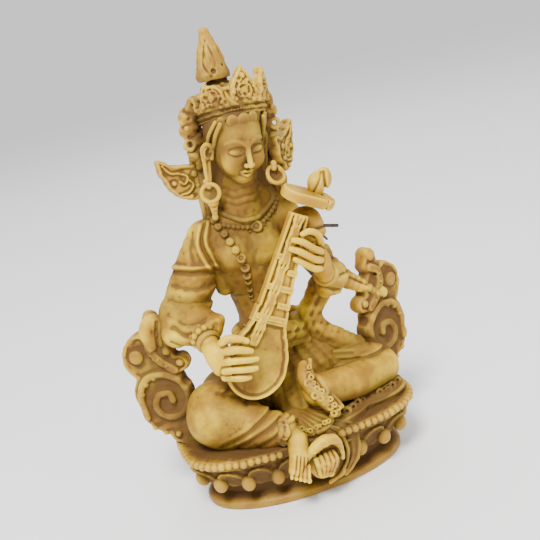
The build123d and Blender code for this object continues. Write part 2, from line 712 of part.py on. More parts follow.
def hanging_beads(start, end, drop, count):
    """Points of a bead string that hangs between two points on the chest."""
    points = []
    for step in range(count):
        share = step / (count - 1)
        sag = 4 * share * (1 - share)
        points.append(between(start, end, share) + (0, -CHEST_BULGE * sag, -drop * sag))
    return points


necklace_points = hanging_beads(
    Vector(-10.5, -0.8, 87.0), Vector(7.5, 0.0, 87.5), NECKLACE_SAG, NECKLACE_BEADS
)
with BuildPart() as necklace:
    with Locations(*necklace_points):
        Sphere(NECKLACE_BEAD_RADIUS)
    with Locations(PENDANT_PLANE):
        Cylinder(PENDANT_RADIUS, PENDANT_DEPTH)
        Hole(PENDANT_HOLE_RADIUS, depth=PENDANT_HOLE_DEPTH)
keep_piece("necklace", necklace)

long_points = hanging_beads(Vector(-10.0, -2.2, 84.5), Vector(0.5, -1.6, 55.0), 0.0, LONG_BEADS)
keep_piece("long_beads", beads(long_points, LONG_BEAD_RADIUS))

# ---------------------------------------------------------------- write
os.makedirs("parts", exist_ok=True)
for name, piece in pieces.items():
    export_step(piece.part, f"parts/{name}.step")
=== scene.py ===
"""The looks of the seated lute player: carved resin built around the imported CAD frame.

Every carved piece is modelled like clay: a grid of signed distance in millimetres, shaped with
strokes, eggs, cuts and creases, then skinned into a mesh in metres.
"""

import math

import bpy
import numpy as np
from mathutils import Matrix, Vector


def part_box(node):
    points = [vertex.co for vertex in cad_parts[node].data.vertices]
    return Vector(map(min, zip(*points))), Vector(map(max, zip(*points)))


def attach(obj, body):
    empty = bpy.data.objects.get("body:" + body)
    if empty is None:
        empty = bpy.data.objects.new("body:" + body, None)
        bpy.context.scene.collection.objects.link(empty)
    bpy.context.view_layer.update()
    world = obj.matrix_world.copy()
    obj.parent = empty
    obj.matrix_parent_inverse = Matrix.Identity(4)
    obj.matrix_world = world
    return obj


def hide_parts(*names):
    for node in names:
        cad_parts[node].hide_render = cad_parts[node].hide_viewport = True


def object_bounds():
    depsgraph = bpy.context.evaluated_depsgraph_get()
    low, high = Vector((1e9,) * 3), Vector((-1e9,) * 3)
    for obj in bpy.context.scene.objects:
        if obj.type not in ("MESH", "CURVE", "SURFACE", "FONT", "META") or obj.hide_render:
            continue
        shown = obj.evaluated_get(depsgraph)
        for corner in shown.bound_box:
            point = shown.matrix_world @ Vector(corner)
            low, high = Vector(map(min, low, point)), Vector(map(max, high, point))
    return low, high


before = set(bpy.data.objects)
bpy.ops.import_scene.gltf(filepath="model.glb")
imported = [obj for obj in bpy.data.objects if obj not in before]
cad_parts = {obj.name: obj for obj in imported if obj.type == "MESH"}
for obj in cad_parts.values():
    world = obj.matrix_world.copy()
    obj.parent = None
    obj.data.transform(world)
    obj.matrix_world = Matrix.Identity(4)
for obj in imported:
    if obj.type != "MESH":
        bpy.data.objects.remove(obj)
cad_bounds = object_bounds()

import openvdb
from mathutils import Euler, Matrix, Vector

MM = 0.001
FAR = 4.0
COARSE = 1.0


# ---------------------------------------------------------------- places from the frame
def in_box(node, shares):
    """Point inside a CAD node's box, as shares of its width, depth and height."""
    low, high = (np.array(corner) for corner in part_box(node))
    return low + (high - low) * shares


# Every place below is in millimetres from here, the middle of the plinth's underside
ORIGIN = in_box("plinth_foot", (0.5, 0.5, 0.0))


def at(node, across=0.5, deep=0.5, up=0.5):
    """The same, in millimetres from the origin."""
    return (in_box(node, (across, deep, up)) - ORIGIN) / MM


TABLE_TOP = at("platform", 0.5, 0.5, 1.0)[2]

# The way to the viewer, and the way the figure's back faces
FRONT = np.array((-0.224, -0.935, 0.276))
REAR = np.array((0, 1.0, 0))


# ---------------------------------------------------------------- clay
def soft_min(a, b, blend):
    if blend <= 0:
        return np.minimum(a, b)
    share = np.clip(0.5 + 0.5 * (b - a) / blend, 0.0, 1.0)
    return b + (a - b) * share - blend * share * (1.0 - share)


def flow(points, steps=6):
    """Smooth path through the points (Catmull-Rom)."""
    points = np.array(points, dtype=float)
    padded = np.vstack([2 * points[0] - points[1], points, 2 * points[-1] - points[-2]])
    path = []
    for p0, p1, p2, p3 in zip(padded, padded[1:], padded[2:], padded[3:]):
        for t in np.arange(steps) / steps:
            path.append(
                0.5 * (2 * p1 + (p2 - p0) * t + (2 * p0 - 5 * p1 + 4 * p2 - p3) * t**2
                       + (3 * p1 - p0 - 3 * p2 + p3) * t**3)
            )
    path.append(points[-1])
    return np.array(path)


def spread(values, count):
    """The values spread evenly over count places."""
    values = np.array(values, dtype=float)
    return np.interp(np.linspace(0, len(values) - 1, count), np.arange(len(values)), values)


class Clay:
    def __init__(self, low, high, voxel=0.3, place=None):
        self.voxel = voxel * COARSE
        self.place = Matrix.Translation(ORIGIN / MM) @ (place or Matrix.Identity(4))
        self.axes = [np.arange(a, b + self.voxel, self.voxel, dtype=np.float32) for a, b in zip(low, high)]
        self.field = np.full([len(axis) for axis in self.axes], FAR, np.float32)

    def window(self, low, high):
        spans = tuple(slice(*np.searchsorted(axis, (a, b))) for axis, a, b in zip(self.axes, low, high))
        x, y, z = (axis[span] for axis, span in zip(self.axes, spans))
        return spans, x[:, None, None], y[None, :, None], z[None, None, :]

    def whole(self):
        x, y, z = self.axes
        return x[:, None, None], y[None, :, None], z[None, None, :]

    def press(self, spans, distance, blend=0.0, cut=False):
        old = self.field[spans]
        if cut:
            self.field[spans] = -soft_min(-old, distance, blend)
        else:
            self.field[spans] = soft_min(old, distance, blend)

    def egg(self, centre, radii, turn=(0, 0, 0), blend=0.0, cut=False):
        """Ellipsoid. turn is in degrees about X, Y and Z."""
        centre = np.array(centre, dtype=float)
        radii = np.broadcast_to(np.array(radii, dtype=float), 3)
        reach = radii.max() + blend + 4 * self.voxel
        spans, x, y, z = self.window(centre - reach, centre + reach)
        x, y, z = x - centre[0], y - centre[1], z - centre[2]
        rows = np.array(Euler([math.radians(t) for t in turn]).to_matrix()).T
        local = [row[0] * x + row[1] * y + row[2] * z for row in rows]
        out = np.sqrt(sum((p / r) ** 2 for p, r in zip(local, radii)))
        steep = np.sqrt(sum((p / r**2) ** 2 for p, r in zip(local, radii))) + 1e-6
        self.press(spans, out * (out - 1) / steep, blend, cut)

    def near(self, points, radii, reach, along=None, span=0.0):
        """Distance to a chain of round cones, worked out near it. along makes it a projected distance."""
        points = np.array(points, dtype=float)
        radii = np.broadcast_to(np.array(radii, dtype=float), len(points))
        margin = reach + radii.max() + (span * np.abs(along) if along is not None else 0.0)
        spans, x, y, z = self.window(points.min(0) - margin, points.max(0) + margin)
        distance = np.full((x.size, y.size, z.size), FAR, np.float32)
        for a, b, radius_a, radius_b in zip(points, points[1:], radii, radii[1:]):
            low, high = np.minimum(a, b) - margin, np.maximum(a, b) + margin
            part = tuple(
                slice(*np.searchsorted(v.ravel(), (l, h)))
                for v, l, h in zip((x, y, z), low, high)
            )
            px, py, pz = x[part[0]] - a[0], y[:, part[1]] - a[1], z[:, :, part[2]] - a[2]
            step = b - a
            if along is not None:
                step = step - along * step.dot(along)
                off = px * along[0] + py * along[1] + pz * along[2]
                px, py, pz = px - off * along[0], py - off * along[1], pz - off * along[2]
            share = np.clip((px * step[0] + py * step[1] + pz * step[2]) / (step.dot(step) + 1e-9), 0, 1)
            gap = np.sqrt(
                (px - share * step[0]) ** 2 + (py - share * step[1]) ** 2 + (pz - share * step[2]) ** 2
            )
            gap = gap - (radius_a + (radius_b - radius_a) * share)
            np.minimum(distance[part], gap, out=distance[part])
        return spans, distance

    def stroke(self, points, radii, blend=0.0, cut=False):
        spans, distance = self.near(points, radii, blend + 4 * self.voxel)
        self.press(spans, distance, blend, cut)

    def crease(self, points, width, depth, along=None, span=5.0):
        """Groove of that depth along a path, or a ridge where the depth is negative."""
        spans, distance = self.near(points, 0.0, 2.5 * width, along, span)
        self.field[spans] += depth * np.exp(-((np.maximum(distance, 0) / width) ** 2)).astype(np.float32)

    def ring(self, centre, axis, radius, thickness, blend=0.0, cut=False, squash=1.0):
        """Torus. squash below 1 makes its section a flat band that is wide along the axis."""
        centre, axis = np.array(centre, dtype=float), np.array(axis, dtype=float)
        axis = axis / np.linalg.norm(axis)
        reach = radius + thickness / squash + blend + 4 * self.voxel
        spans, x, y, z = self.window(centre - reach, centre + reach)
        x, y, z = x - centre[0], y - centre[1], z - centre[2]
        high = x * axis[0] + y * axis[1] + z * axis[2]
        flat = np.sqrt(np.maximum(x**2 + y**2 + z**2 - high**2, 0))
        self.press(spans, np.sqrt((flat - radius) ** 2 + (high * squash) ** 2) - thickness, blend, cut)

    def weather(self, depth, seed, wavelength=3.0):
        """Uneven hand-worn surface: a few random waves, applied close to the skin."""
        rng = np.random.default_rng(seed)
        close = np.nonzero(np.abs(self.field) < 1.5)
        x, y, z = (axis[index] for axis, index in zip(self.axes, close))
        waves = np.zeros(len(x), np.float32)
        for _ in range(9):
            way = rng.normal(size=3)
            way *= 2 * math.pi / (np.linalg.norm(way) * wavelength * rng.uniform(0.6, 1.6))
            waves += np.sin(way[0] * x + way[1] * y + way[2] * z + rng.uniform(0, 6.3)).astype(np.float32)
        self.field[close] += depth * waves / 3.0

    def keep_above(self, height):
        self.field = np.maximum(self.field, height - self.whole()[2])


class Plate:
    """Flat carving in its own frame: X along it, Z up it, -Y its front. Painted in X and Z.

    mirror is -1 where what is painted is turned left to right.
    """

    def __init__(self, low, high, thickness, place, voxel=0.25, mirror=1):
        self.mirror = mirror
        half = thickness / 2 + 2.5
        self.clay = Clay((low[0], -half, low[1]), (high[0], half, high[1]), voxel, place)
        self.u, self.v = self.clay.axes[0][:, None], self.clay.axes[2][None, :]
        self.outline = np.full((self.u.size, self.v.size), FAR, np.float32)
        self.relief = np.zeros_like(self.outline)
        self.half = thickness / 2

    def distance(self, points, radii=0.0):
        points = np.array(points, dtype=float) * (self.mirror, 1)
        radii = np.broadcast_to(np.array(radii, dtype=float), len(points))
        found = np.full_like(self.outline, 1e3)
        pairs = list(zip(points, points[1:], radii, radii[1:])) or [(
            points[0], points[0], radii[0], radii[0]
        )]
        for a, b, radius_a, radius_b in pairs:
            step = b - a
            pu, pv = self.u - a[0], self.v - a[1]
            share = np.clip((pu * step[0] + pv * step[1]) / (step.dot(step) + 1e-9), 0, 1)
            gap = np.hypot(
                pu - share * step[0], pv - share * step[1]
            ) - (radius_a + (radius_b - radius_a) * share)
            found = np.minimum(found, gap)
        return found

    def fill(self, points, radii, blend=0.6):
        self.outline = soft_min(self.outline, self.distance(points, radii), blend)

    def bite(self, points, radii):
        self.outline = np.maximum(self.outline, -self.distance(points, radii))

    def band(self, points, width, height, soft=0.5):
        """Raised band that follows a path."""
        rise = np.clip((width - self.distance(points)) / soft, 0, 1)
        self.relief = np.maximum(self.relief, height * (rise * rise * (3 - 2 * rise)))

    def boss(self, centre, radius, height):
        out = np.hypot(self.u - self.mirror * centre[0], self.v - centre[1]) / radius
        dome = np.sqrt(np.clip(1 - out**2, 0, 1))
        self.relief = np.where(out < 1, np.maximum(self.relief, height * dome), self.relief)

    def groove(self, points, width, depth):
        self.relief = self.relief - depth * np.exp(-((self.distance(points) / width) ** 2))

    def cast(self, rounding=0.8):
        """Turns the painting into clay, carved alike on both faces."""
        w = self.clay.axes[1][None, :, None]
        thick = (self.half + self.relief)[:, None, :]
        outline = self.outline[:, None, :]
        self.clay.field = -soft_min(-outline, -(np.abs(w) - thick), rounding).astype(np.float32)
        return self.clay


def frame_at(origin, along, up):
    """Matrix of a local frame, in millimetres: X along, Z up, -Y to the front."""
    along, up = Vector(along).normalized(), Vector(up)
    up = (up - along * up.dot(along)).normalized()
    back = up.cross(along)
    matrix = Matrix((along, back, up)).transposed().to_4x4()
    matrix.translation = Vector(origin)
    return matrix


# ---------------------------------------------------------------- skins
# How far the hollow measure looks, in millimetres, and the pitch and blurs, in voxels, of the shelter grid,
# whose share of solid is painted as shade
HOLLOW_REACH = 0.75
SHELTER_PITCH = 0.8
SHELTER_REACHES = (3, 7)
skins = []


def box_blur(values, radius):
    """Mean over a cube of that many voxels each way."""
    for axis in range(3):
        padding = [(0, 0)] * 3
        padding[axis] = (radius + 1, radius)
        total = np.cumsum(np.pad(values, padding, mode="edge"), axis=axis, dtype=np.float32)
        count = total.shape[axis]
        ahead = total.take(range(2 * radius + 1, count), axis=axis)
        behind = total.take(range(0, count - 2 * radius - 1), axis=axis)
        values = (ahead - behind) / (2 * radius + 1)
    return values


def filled(clay):
    return np.clip(0.5 - clay.field / (2 * clay.voxel), 0, 1)


def sample(values, points, low, pitch):
    """Values between the grid points, mixed from the eight nearest."""
    place = np.clip((points - low) / pitch, 0, np.array(values.shape) - 1.001)
    corner = place.astype(int)
    rest = place - corner
    total = np.zeros(len(points))
    for step in np.ndindex(2, 2, 2):
        weight = np.prod(np.where(step, rest, 1 - rest), axis=1)
        total += weight * values[tuple((corner + step).T)]
    return total


def skin(name, clays, slot, *nodes):
    """Meshes one piece from its clay and hangs it on the frame in place of its CAD nodes."""
    clays = clays if isinstance(clays, list) else [clays]
    all_points, all_quads, hollows, count = [], [], [], 0
    for clay in clays:
        grid = openvdb.FloatGrid(background=FAR)
        grid.copyFromArray(np.ascontiguousarray(clay.field))
        points, quads = grid.convertToQuads(isovalue=0.0)
        low = np.array([axis[0] for axis in clay.axes])
        blurred = box_blur(filled(clay), max(1, round(HOLLOW_REACH / clay.voxel)))
        hollows.append(sample(blurred, points, 0.0, 1.0))
        local = np.c_[low + points * clay.voxel, np.ones(len(points))]
        all_points.append((local @ np.array(clay.place).T)[:, :3])
        all_quads.append(quads[:, ::-1] + count)
        count += len(points)
    points, quads = np.vstack(all_points), np.vstack(all_quads)
    mesh = bpy.data.meshes.new(name)
    mesh.vertices.add(len(points))
    mesh.vertices.foreach_set("co", (points * MM).ravel().astype(np.float32))
    mesh.loops.add(4 * len(quads))
    mesh.loops.foreach_set("vertex_index", quads.ravel().astype(np.int32))
    mesh.polygons.add(len(quads))
    mesh.polygons.foreach_set("loop_start", np.arange(0, 4 * len(quads), 4, dtype=np.int32))
    mesh.update(calc_edges=True)
    mesh.shade_smooth()
    hollow = mesh.attributes.new("hollow", "FLOAT", "POINT")
    hollow.data.foreach_set("value", np.concatenate(hollows).astype(np.float32))
    piece = bpy.data.objects.new(name, mesh)
    bpy.context.scene.collection.objects.link(piece)
    mesh.materials.append(materials[slot])
    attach(piece, "root")
    if nodes:
        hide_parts(*nodes)
    skins.append((piece, points, clays))
    return piece


def shelter_all():
    """Gives every skin the share of solid around each point, over all pieces, as painted shade: the resin
    darkens where the pieces hem each other in.
    """
    low = np.array(cad_bounds[0]) / MM - 4
    high = np.array(cad_bounds[1]) / MM + 4
    axes = [np.arange(a, b, SHELTER_PITCH) for a, b in zip(low, high)]
    solid = np.zeros([len(axis) for axis in axes], np.float32)
    for _, points, clays in skins:
        for clay in clays:
            corners = np.array([[axis[0], axis[-1]] for axis in clay.axes])
            box = np.array([(x, y, z, 1) for x in corners[0] for y in corners[1] for z in corners[2]])
            world = (box @ np.array(clay.place).T)[:, :3]
            ends = zip(axes, world.min(0), world.max(0))
            spans = tuple(slice(*np.searchsorted(axis, (a, b))) for axis, a, b in ends)
            mesh = np.stack(np.meshgrid(*(axis[s] for axis, s in zip(axes, spans)), indexing="ij"), -1)
            shape = mesh.shape[:3]
            flat = np.c_[mesh.reshape(-1, 3), np.ones(mesh.size // 3)]
            local = (flat @ np.array(clay.place.inverted()).T)[:, :3]
            start = corners[:, 0]
            inside = np.all((local >= start) & (local <= corners[:, 1]), axis=1)
            found = np.where(inside, sample(filled(clay), local, start, clay.voxel), 0)
            solid[spans] = np.maximum(solid[spans], found.reshape(shape))
    solid = sum(box_blur(box_blur(solid, reach), reach) for reach in SHELTER_REACHES) / len(SHELTER_REACHES)
    for piece, points, _ in skins:
        # The blurred share goes on each skin as an attribute, which the resins paint as shade
        occlusion_shade = piece.data.attributes.new("occlusion_shade", "FLOAT", "POINT")
        occlusion_shade.data.foreach_set("value", sample(solid, points, low, SHELTER_PITCH).astype(np.float32))


# ---------------------------------------------------------------- materials
class Nodes:
    """Short way to wire a material."""

    def __init__(self, name):
        self.material = bpy.data.materials.new(name)
        self.material.use_nodes = True
        self.tree = self.material.node_tree
        self.shader = self.tree.nodes["Principled BSDF"]
        self.place = self.node("ShaderNodeTexCoord").outputs["Object"]

    def node(self, kind, **settings):
        made = self.tree.nodes.new(kind)
        for key, value in settings.items():
            setattr(made, key, value)
        return made

    def link(self, value, socket):
        if isinstance(value, bpy.types.NodeSocket):
            self.tree.links.new(value, socket)
        else:
            socket.default_value = value

    def math(self, operation, a, b=0.0, clamp=False):
        made = self.node("ShaderNodeMath", operation=operation, use_clamp=clamp)
        self.link(a, made.inputs[0])
        self.link(b, made.inputs[1])
        return made.outputs[0]

    def ramp(self, value, low, high, to_low=0.0, to_high=1.0):
        made = self.node("ShaderNodeMapRange", interpolation_type="SMOOTHSTEP")
        for socket, number in zip(made.inputs, (value, low, high, to_low, to_high)):
            self.link(number, socket)
        return made.outputs[0]

    def noise(self, per_mm, detail=3.0, roughness=0.55):
        made = self.node("ShaderNodeTexNoise")
        self.link(self.place, made.inputs["Vector"])
        for key, value in (("Scale", per_mm / MM), ("Detail", detail), ("Roughness", roughness)):
            made.inputs[key].default_value = value
        return made.outputs["Fac"]

    def mix(self, share, a, b):
        made = self.node("ShaderNodeMix", data_type="RGBA")
        self.link(share, made.inputs["Factor"])
        self.link(a, made.inputs[6])
        self.link(b, made.inputs[7])
        return made.outputs[2]

    def attribute(self, name):
        return self.node("ShaderNodeAttribute", attribute_name=name).outputs["Fac"]


IVORY = (0.88, 0.585, 0.014, 1)
HONEY = (0.57, 0.285, 0.007, 1)
TAN = (0.240, 0.115, 0.020, 1)
UMBER = (0.060, 0.027, 0.010, 1)
RUBBED = (0.90, 0.68, 0.05, 1)


def resin(name, wash_and_shade_level, tone=0.0, grain=1.0, pits=1.0):
    """Cast ivory resin. A brown wash stays in the fine hollows, painted shade darkens the places that the
    pieces hem in, and high places are rubbed light.

    wash_and_shade_level is how strong the hollows' wash and the painted shade are, tone how far the whole
    body goes from ivory towards tan.
    """
    n = Nodes(name)
    cloud = n.noise(0.09, 4.0)
    mottle = n.noise(0.55, 5.0, 0.6)
    speck = n.noise(2.2, 3.0, 0.6)
    hollow, occlusion_shade = n.attribute("hollow"), n.attribute("occlusion_shade")
    uneven = n.math("MULTIPLY", n.math("SUBTRACT", mottle, 0.5), 0.10)
    near = n.ramp(n.math("ADD", hollow, uneven), 0.495, 0.58)
    drift = n.math("MULTIPLY", n.math("SUBTRACT", cloud, 0.5), 0.25)
    # deep is painted shade: darker where the pieces hem each other in
    deep = n.ramp(n.math("ADD", occlusion_shade, drift), 0.18, 0.50)
    stain = n.math("MULTIPLY", n.ramp(mottle, 0.52, 0.80), 0.20)
    # The brown mix: patina wash in the fine hollows, painted shade from the occlusion share, and stains
    wash_and_shade = n.math("ADD", n.math("MULTIPLY", near, 0.80 * wash_and_shade_level), n.math("MULTIPLY", deep, 0.85 * wash_and_shade_level))
    wash_and_shade = n.math("ADD", wash_and_shade, n.math("MULTIPLY", stain, wash_and_shade_level), clamp=True)
    body = n.mix(n.ramp(cloud, 0.32, 0.58), IVORY, HONEY)
    body = n.mix(tone, body, TAN)
    body = n.mix(n.math("MULTIPLY", n.ramp(hollow, 0.47, 0.34), 0.65 * (1 - tone)), body, RUBBED)
    colour = n.mix(n.math("MULTIPLY", wash_and_shade, 0.84), body, UMBER)
    bubbles = n.node("ShaderNodeTexVoronoi", feature="F1")
    n.link(n.place, bubbles.inputs["Vector"])
    bubbles.inputs["Scale"].default_value = 0.42 / MM
    rare = n.node("ShaderNodeSeparateColor")
    n.link(bubbles.outputs["Color"], rare.inputs[0])
    chosen = n.math("GREATER_THAN", rare.outputs[0], 1.0 - 0.22 * pits)
    size = n.math("MULTIPLY", rare.outputs[1], 0.11)
    pit = n.math("MULTIPLY", n.math("LESS_THAN", bubbles.outputs["Distance"], size), chosen)
    colour = n.mix(n.math("MULTIPLY", pit, 0.85), colour, UMBER)
    n.link(colour, n.shader.inputs["Base Color"])
    rough = n.ramp(n.math("ADD", wash_and_shade, n.math("MULTIPLY", speck, 0.3)), 0.0, 1.2, 0.38, 0.75)
    n.link(rough, n.shader.inputs["Roughness"])
    height = n.math("ADD", n.math("MULTIPLY", speck, 0.30 * grain), n.math("MULTIPLY", mottle, 0.9 * grain))
    height = n.math("SUBTRACT", height, n.math("MULTIPLY", pit, 1.6))
    bump = n.node("ShaderNodeBump")
    bump.inputs["Strength"].default_value = 0.35
    bump.inputs["Distance"].default_value = 0.16 * MM
    n.link(height, bump.inputs["Height"])
    n.link(bump.outputs["Normal"], n.shader.inputs["Normal"])
    n.shader.inputs["Specular IOR Level"].default_value = 0.20
    return n.material


def dark_wire(name):
    n = Nodes(name)
    rust = n.ramp(n.noise(1.2, 4.0), 0.45, 0.65)
    n.link(n.mix(rust, (0.045, 0.04, 0.038, 1), (0.16, 0.09, 0.05, 1)), n.shader.inputs["Base Color"])
    n.link(n.ramp(rust, 0.0, 1.0, 0.35, 0.75), n.shader.inputs["Roughness"])
    n.shader.inputs["Metallic"].default_value = 0.8
    return n.material


def paper(name):
    n = Nodes(name)
    grain = n.noise(0.02, 2.0)
    n.link(n.mix(grain, (0.93, 0.93, 0.93, 1), (0.97, 0.97, 0.97, 1)), n.shader.inputs["Base Color"])
    n.shader.inputs["Roughness"].default_value = 0.9
    return n.material


# Each resin's wash-and-shade level, tone, grain and pits
RESINS = {
    "resin_plinth": (1.15, 0.66, 1.2, 1.3),
    "resin_platform": (1.3, 0.80, 1.2, 1.3),
    "resin_skin": (1.05, 0.14, 0.6, 0.8),
    # The face and ears go further from ivory towards tan than the rest of the skin: painted shade for the
    # bowed head
    "resin_face": (1.05, 0.44, 0.6, 0.5),
    "resin_hair": (1.15, 0.70, 1.2, 1.0),
    "resin_ornament": (1.25, 0.60, 1.2, 1.2),
    "resin_drapery": (1.05, 0.12, 0.8, 0.9),
    "resin_lute": (1.05, 0.36, 0.7, 0.9),
}
materials = {slot: resin(slot, *look) for slot, look in RESINS.items()}
materials["pin_metal"] = dark_wire("pin_metal")


# ---------------------------------------------------------------- plinth
PLINTH_LEVELS = (0.0, 0.6, 2.2, 2.9, 4.2, 8.1, 8.6, 12.5, 16.2, 17.0, 19.5, 20.0)
PLINTH_HALF_LENGTHS = (31.4, 32.4, 32.4, 31.6, 28.0, 27.6, 30.2, 32.6, 34.6, 36.0, 36.4, 36.0)
PLINTH_HALF_DEPTHS = (17.4, 18.4, 18.4, 17.6, 14.8, 14.5, 16.8, 18.8, 20.4, 21.7, 22.0, 21.6)
PLINTH_SQUARENESS = (2.1, 2.1, 2.1, 2.1, 2.1, 2.1, 2.3, 2.6, 2.9, 3.0, 3.0, 3.0)
WALL_OVAL = (33.5, 19.5, 2.7)
RIM_OVAL = (36.7, 22.3, 3.0)
PETALS, RIM_BEADS = 20, 92
RIM_BEAD_LEVEL = 18.9
BUD_LEVEL = 10.9
PETAL_MIDDLE, PETAL_HALF_HEIGHT = 11.4, 4.9


def superellipse(angle, half_length, half_depth, squareness):
    c, s = np.cos(angle), np.sin(angle)
    x = half_length * np.sign(c) * np.abs(c) ** (2 / squareness)
    y = half_depth * np.sign(s) * np.abs(s) ** (2 / squareness)
    return x, y


def walk_round(start, oval):
    """Points all round an oval from a bearing, with the length walked to each."""
    x, y = superellipse(np.linspace(start, start + 2 * math.pi, 1441), *oval)
    return x, y, np.r_[0, np.cumsum(np.hypot(np.diff(x), np.diff(y)))]


def stations(walk, count):
    """Evenly spaced places all round an oval."""
    x, y, lengths = walk
    walked = (np.arange(count) + 0.5) / count * lengths[-1]
    return zip(np.interp(walked, lengths, x), np.interp(walked, lengths, y))


WALL = walk_round(-math.pi, WALL_OVAL)


def plinth_field(clay, low, high):
    x, y, z = clay.whole()
    half_length = np.interp(z, PLINTH_LEVELS, PLINTH_HALF_LENGTHS)
    half_depth = np.interp(z, PLINTH_LEVELS, PLINTH_HALF_DEPTHS)
    squareness = np.interp(z, PLINTH_LEVELS, PLINTH_SQUARENESS)
    out = (np.abs(x / half_length) ** squareness + np.abs(y / half_depth) ** squareness) ** (1 / squareness)
    radius = np.sqrt(x * x + y * y)
    wall = (radius - radius / np.maximum(out, 1e-3)) * 0.92
    clay.field = np.maximum(np.maximum(wall, z - high), low - z).astype(np.float32)


def petal_relief(clay):
    """Round-topped double petals all round the wall, one inside the other."""
    x, y, z = clay.whole()
    wall_x, wall_y, lengths = WALL
    along = np.interp(np.arctan2(y, x), np.arctan2(wall_y, wall_x), lengths) * np.ones_like(z)
    pitch = lengths[-1] / PETALS
    across = np.mod(along + pitch / 2, pitch) - pitch / 2
    up = z - PETAL_MIDDLE
    out = np.sqrt((across / (pitch * 0.47)) ** 2 + (up / PETAL_HALF_HEIGHT) ** 2)
    lip = np.clip((1.0 - out) / 0.12, 0, 1)
    step = np.clip((0.72 - out) / 0.10, 0, 1)
    ridge = np.exp(-(((out - 0.88) / 0.08) ** 2)) + 0.8 * np.exp(-(((out - 0.62) / 0.07) ** 2))
    behind = np.abs(np.mod(along, pitch) - pitch / 2)
    spear = np.clip((2.1 - behind - 0.25 * np.abs(up)) / 0.8, 0, 1) * 0.5
    rise = 1.5 * lip - 0.5 * step + 0.55 * ridge * (lip > 0) + spear * (1 - lip)
    clay.field = (clay.field - rise * (z < 16.9)).astype(np.float32)


LOTUS = np.array((0.0, -22.5, 13.0))


def make_plinth():
    foot = Clay((-34, -20, -0.8), (34, 20, 9.0), 0.32)
    plinth_field(foot, 0.0, 8.4)
    skin("plinth_base", foot, "resin_platform", "plinth_foot", "plinth_waist")

    bed = Clay((-38.5, -25, 6.5), (38.5, 25, 18.5), 0.29)
    plinth_field(bed, 8.0, 17.2)
    petal_relief(bed)
    skin("lotus_petal_wall", bed, "resin_plinth", "lotus_bed", "lotus_petals")

    buds = []
    half_length, half_depth, _ = WALL_OVAL
    for x, y in stations(WALL, PETALS):
        bearing = math.degrees(math.atan2(y / half_depth**2, x / half_length**2))
        centre = np.array((x, y, BUD_LEVEL))
        if math.hypot(centre[0] - LOTUS[0] + 2.5, centre[1] - LOTUS[1]) < 10.5:
            continue
        bud = Clay(centre - 4.5, centre + 4.5, 0.25)
        bud.egg(centre, (2.3, 2.15, 2.75), (0, 14, bearing))
        buds.append(bud)
    skin("petal_bud_ring", buds, "resin_plinth", "petal_buds")

    slab = Clay((-38, -23.5, 16.0), (38, 23.5, 21.0), 0.3)
    plinth_field(slab, 17.0, TABLE_TOP)
    x, y, z = slab.whole()
    slow = 0.10 * np.sin(x * 0.9 + 1.3) * np.sin(y * 1.1)
    quick = 0.07 * np.sin(x * 2.3) * np.sin(y * 1.9 + z)
    slab.field += (slow + quick).astype(np.float32)
    skin("platform_slab", slab, "resin_platform", "platform")

    rng = np.random.default_rng(7)
    beads = Clay((-39.5, -25, 16.5), (39.5, 25, 21.0), 0.25)
    for x, y in stations(walk_round(0.0, RIM_OVAL), RIM_BEADS):
        radius = 1.2 + rng.uniform(-0.12, 0.1)
        if math.hypot(x - LOTUS[0] + 2.0, y - LOTUS[1]) > 9.0:
            beads.egg((x, y, RIM_BEAD_LEVEL + rng.uniform(-0.15, 0.15)), (radius, radius, radius * 0.95))
    skin("rim_bead_row", beads, "resin_plinth", "rim_beads")


# ---------------------------------------------------------------- body
HEAD = np.array((0.9, -1.2, 108.0))
NECK_TOP = np.array((-0.2, 2.2, 98.0))
NECK_BASE = np.array((-2.5, 4.5, 85.0))
CHEST = np.array((-2.5, 5.0, 75.0))
WAIST = np.array((-1.5, 7.0, 54.0))
SHOULDER_RIGHT = np.array((-13.2, 5.2, 80.4))
ELBOW_RIGHT = np.array((-25.2, 3.0, 60.8))
WRIST_RIGHT = np.array((-22.4, -11.8, 54.4))
SHOULDER_LEFT = np.array((11.2, 6.0, 81.5))
ELBOW_LEFT = np.array((22.5, 3.5, 57.0))
WRIST_LEFT = np.array((17.0, -8.5, 63.5))
KNEE_RIGHT = np.array((-25.0, -6.0, 29.2))
ANKLE_RIGHT = np.array((-8.5, -18.5, 24.6))
KNEE_LEFT = np.array((29.2, -4.0, 27.6))
ANKLE_LEFT = np.array((5.5, -14.5, 31.0))


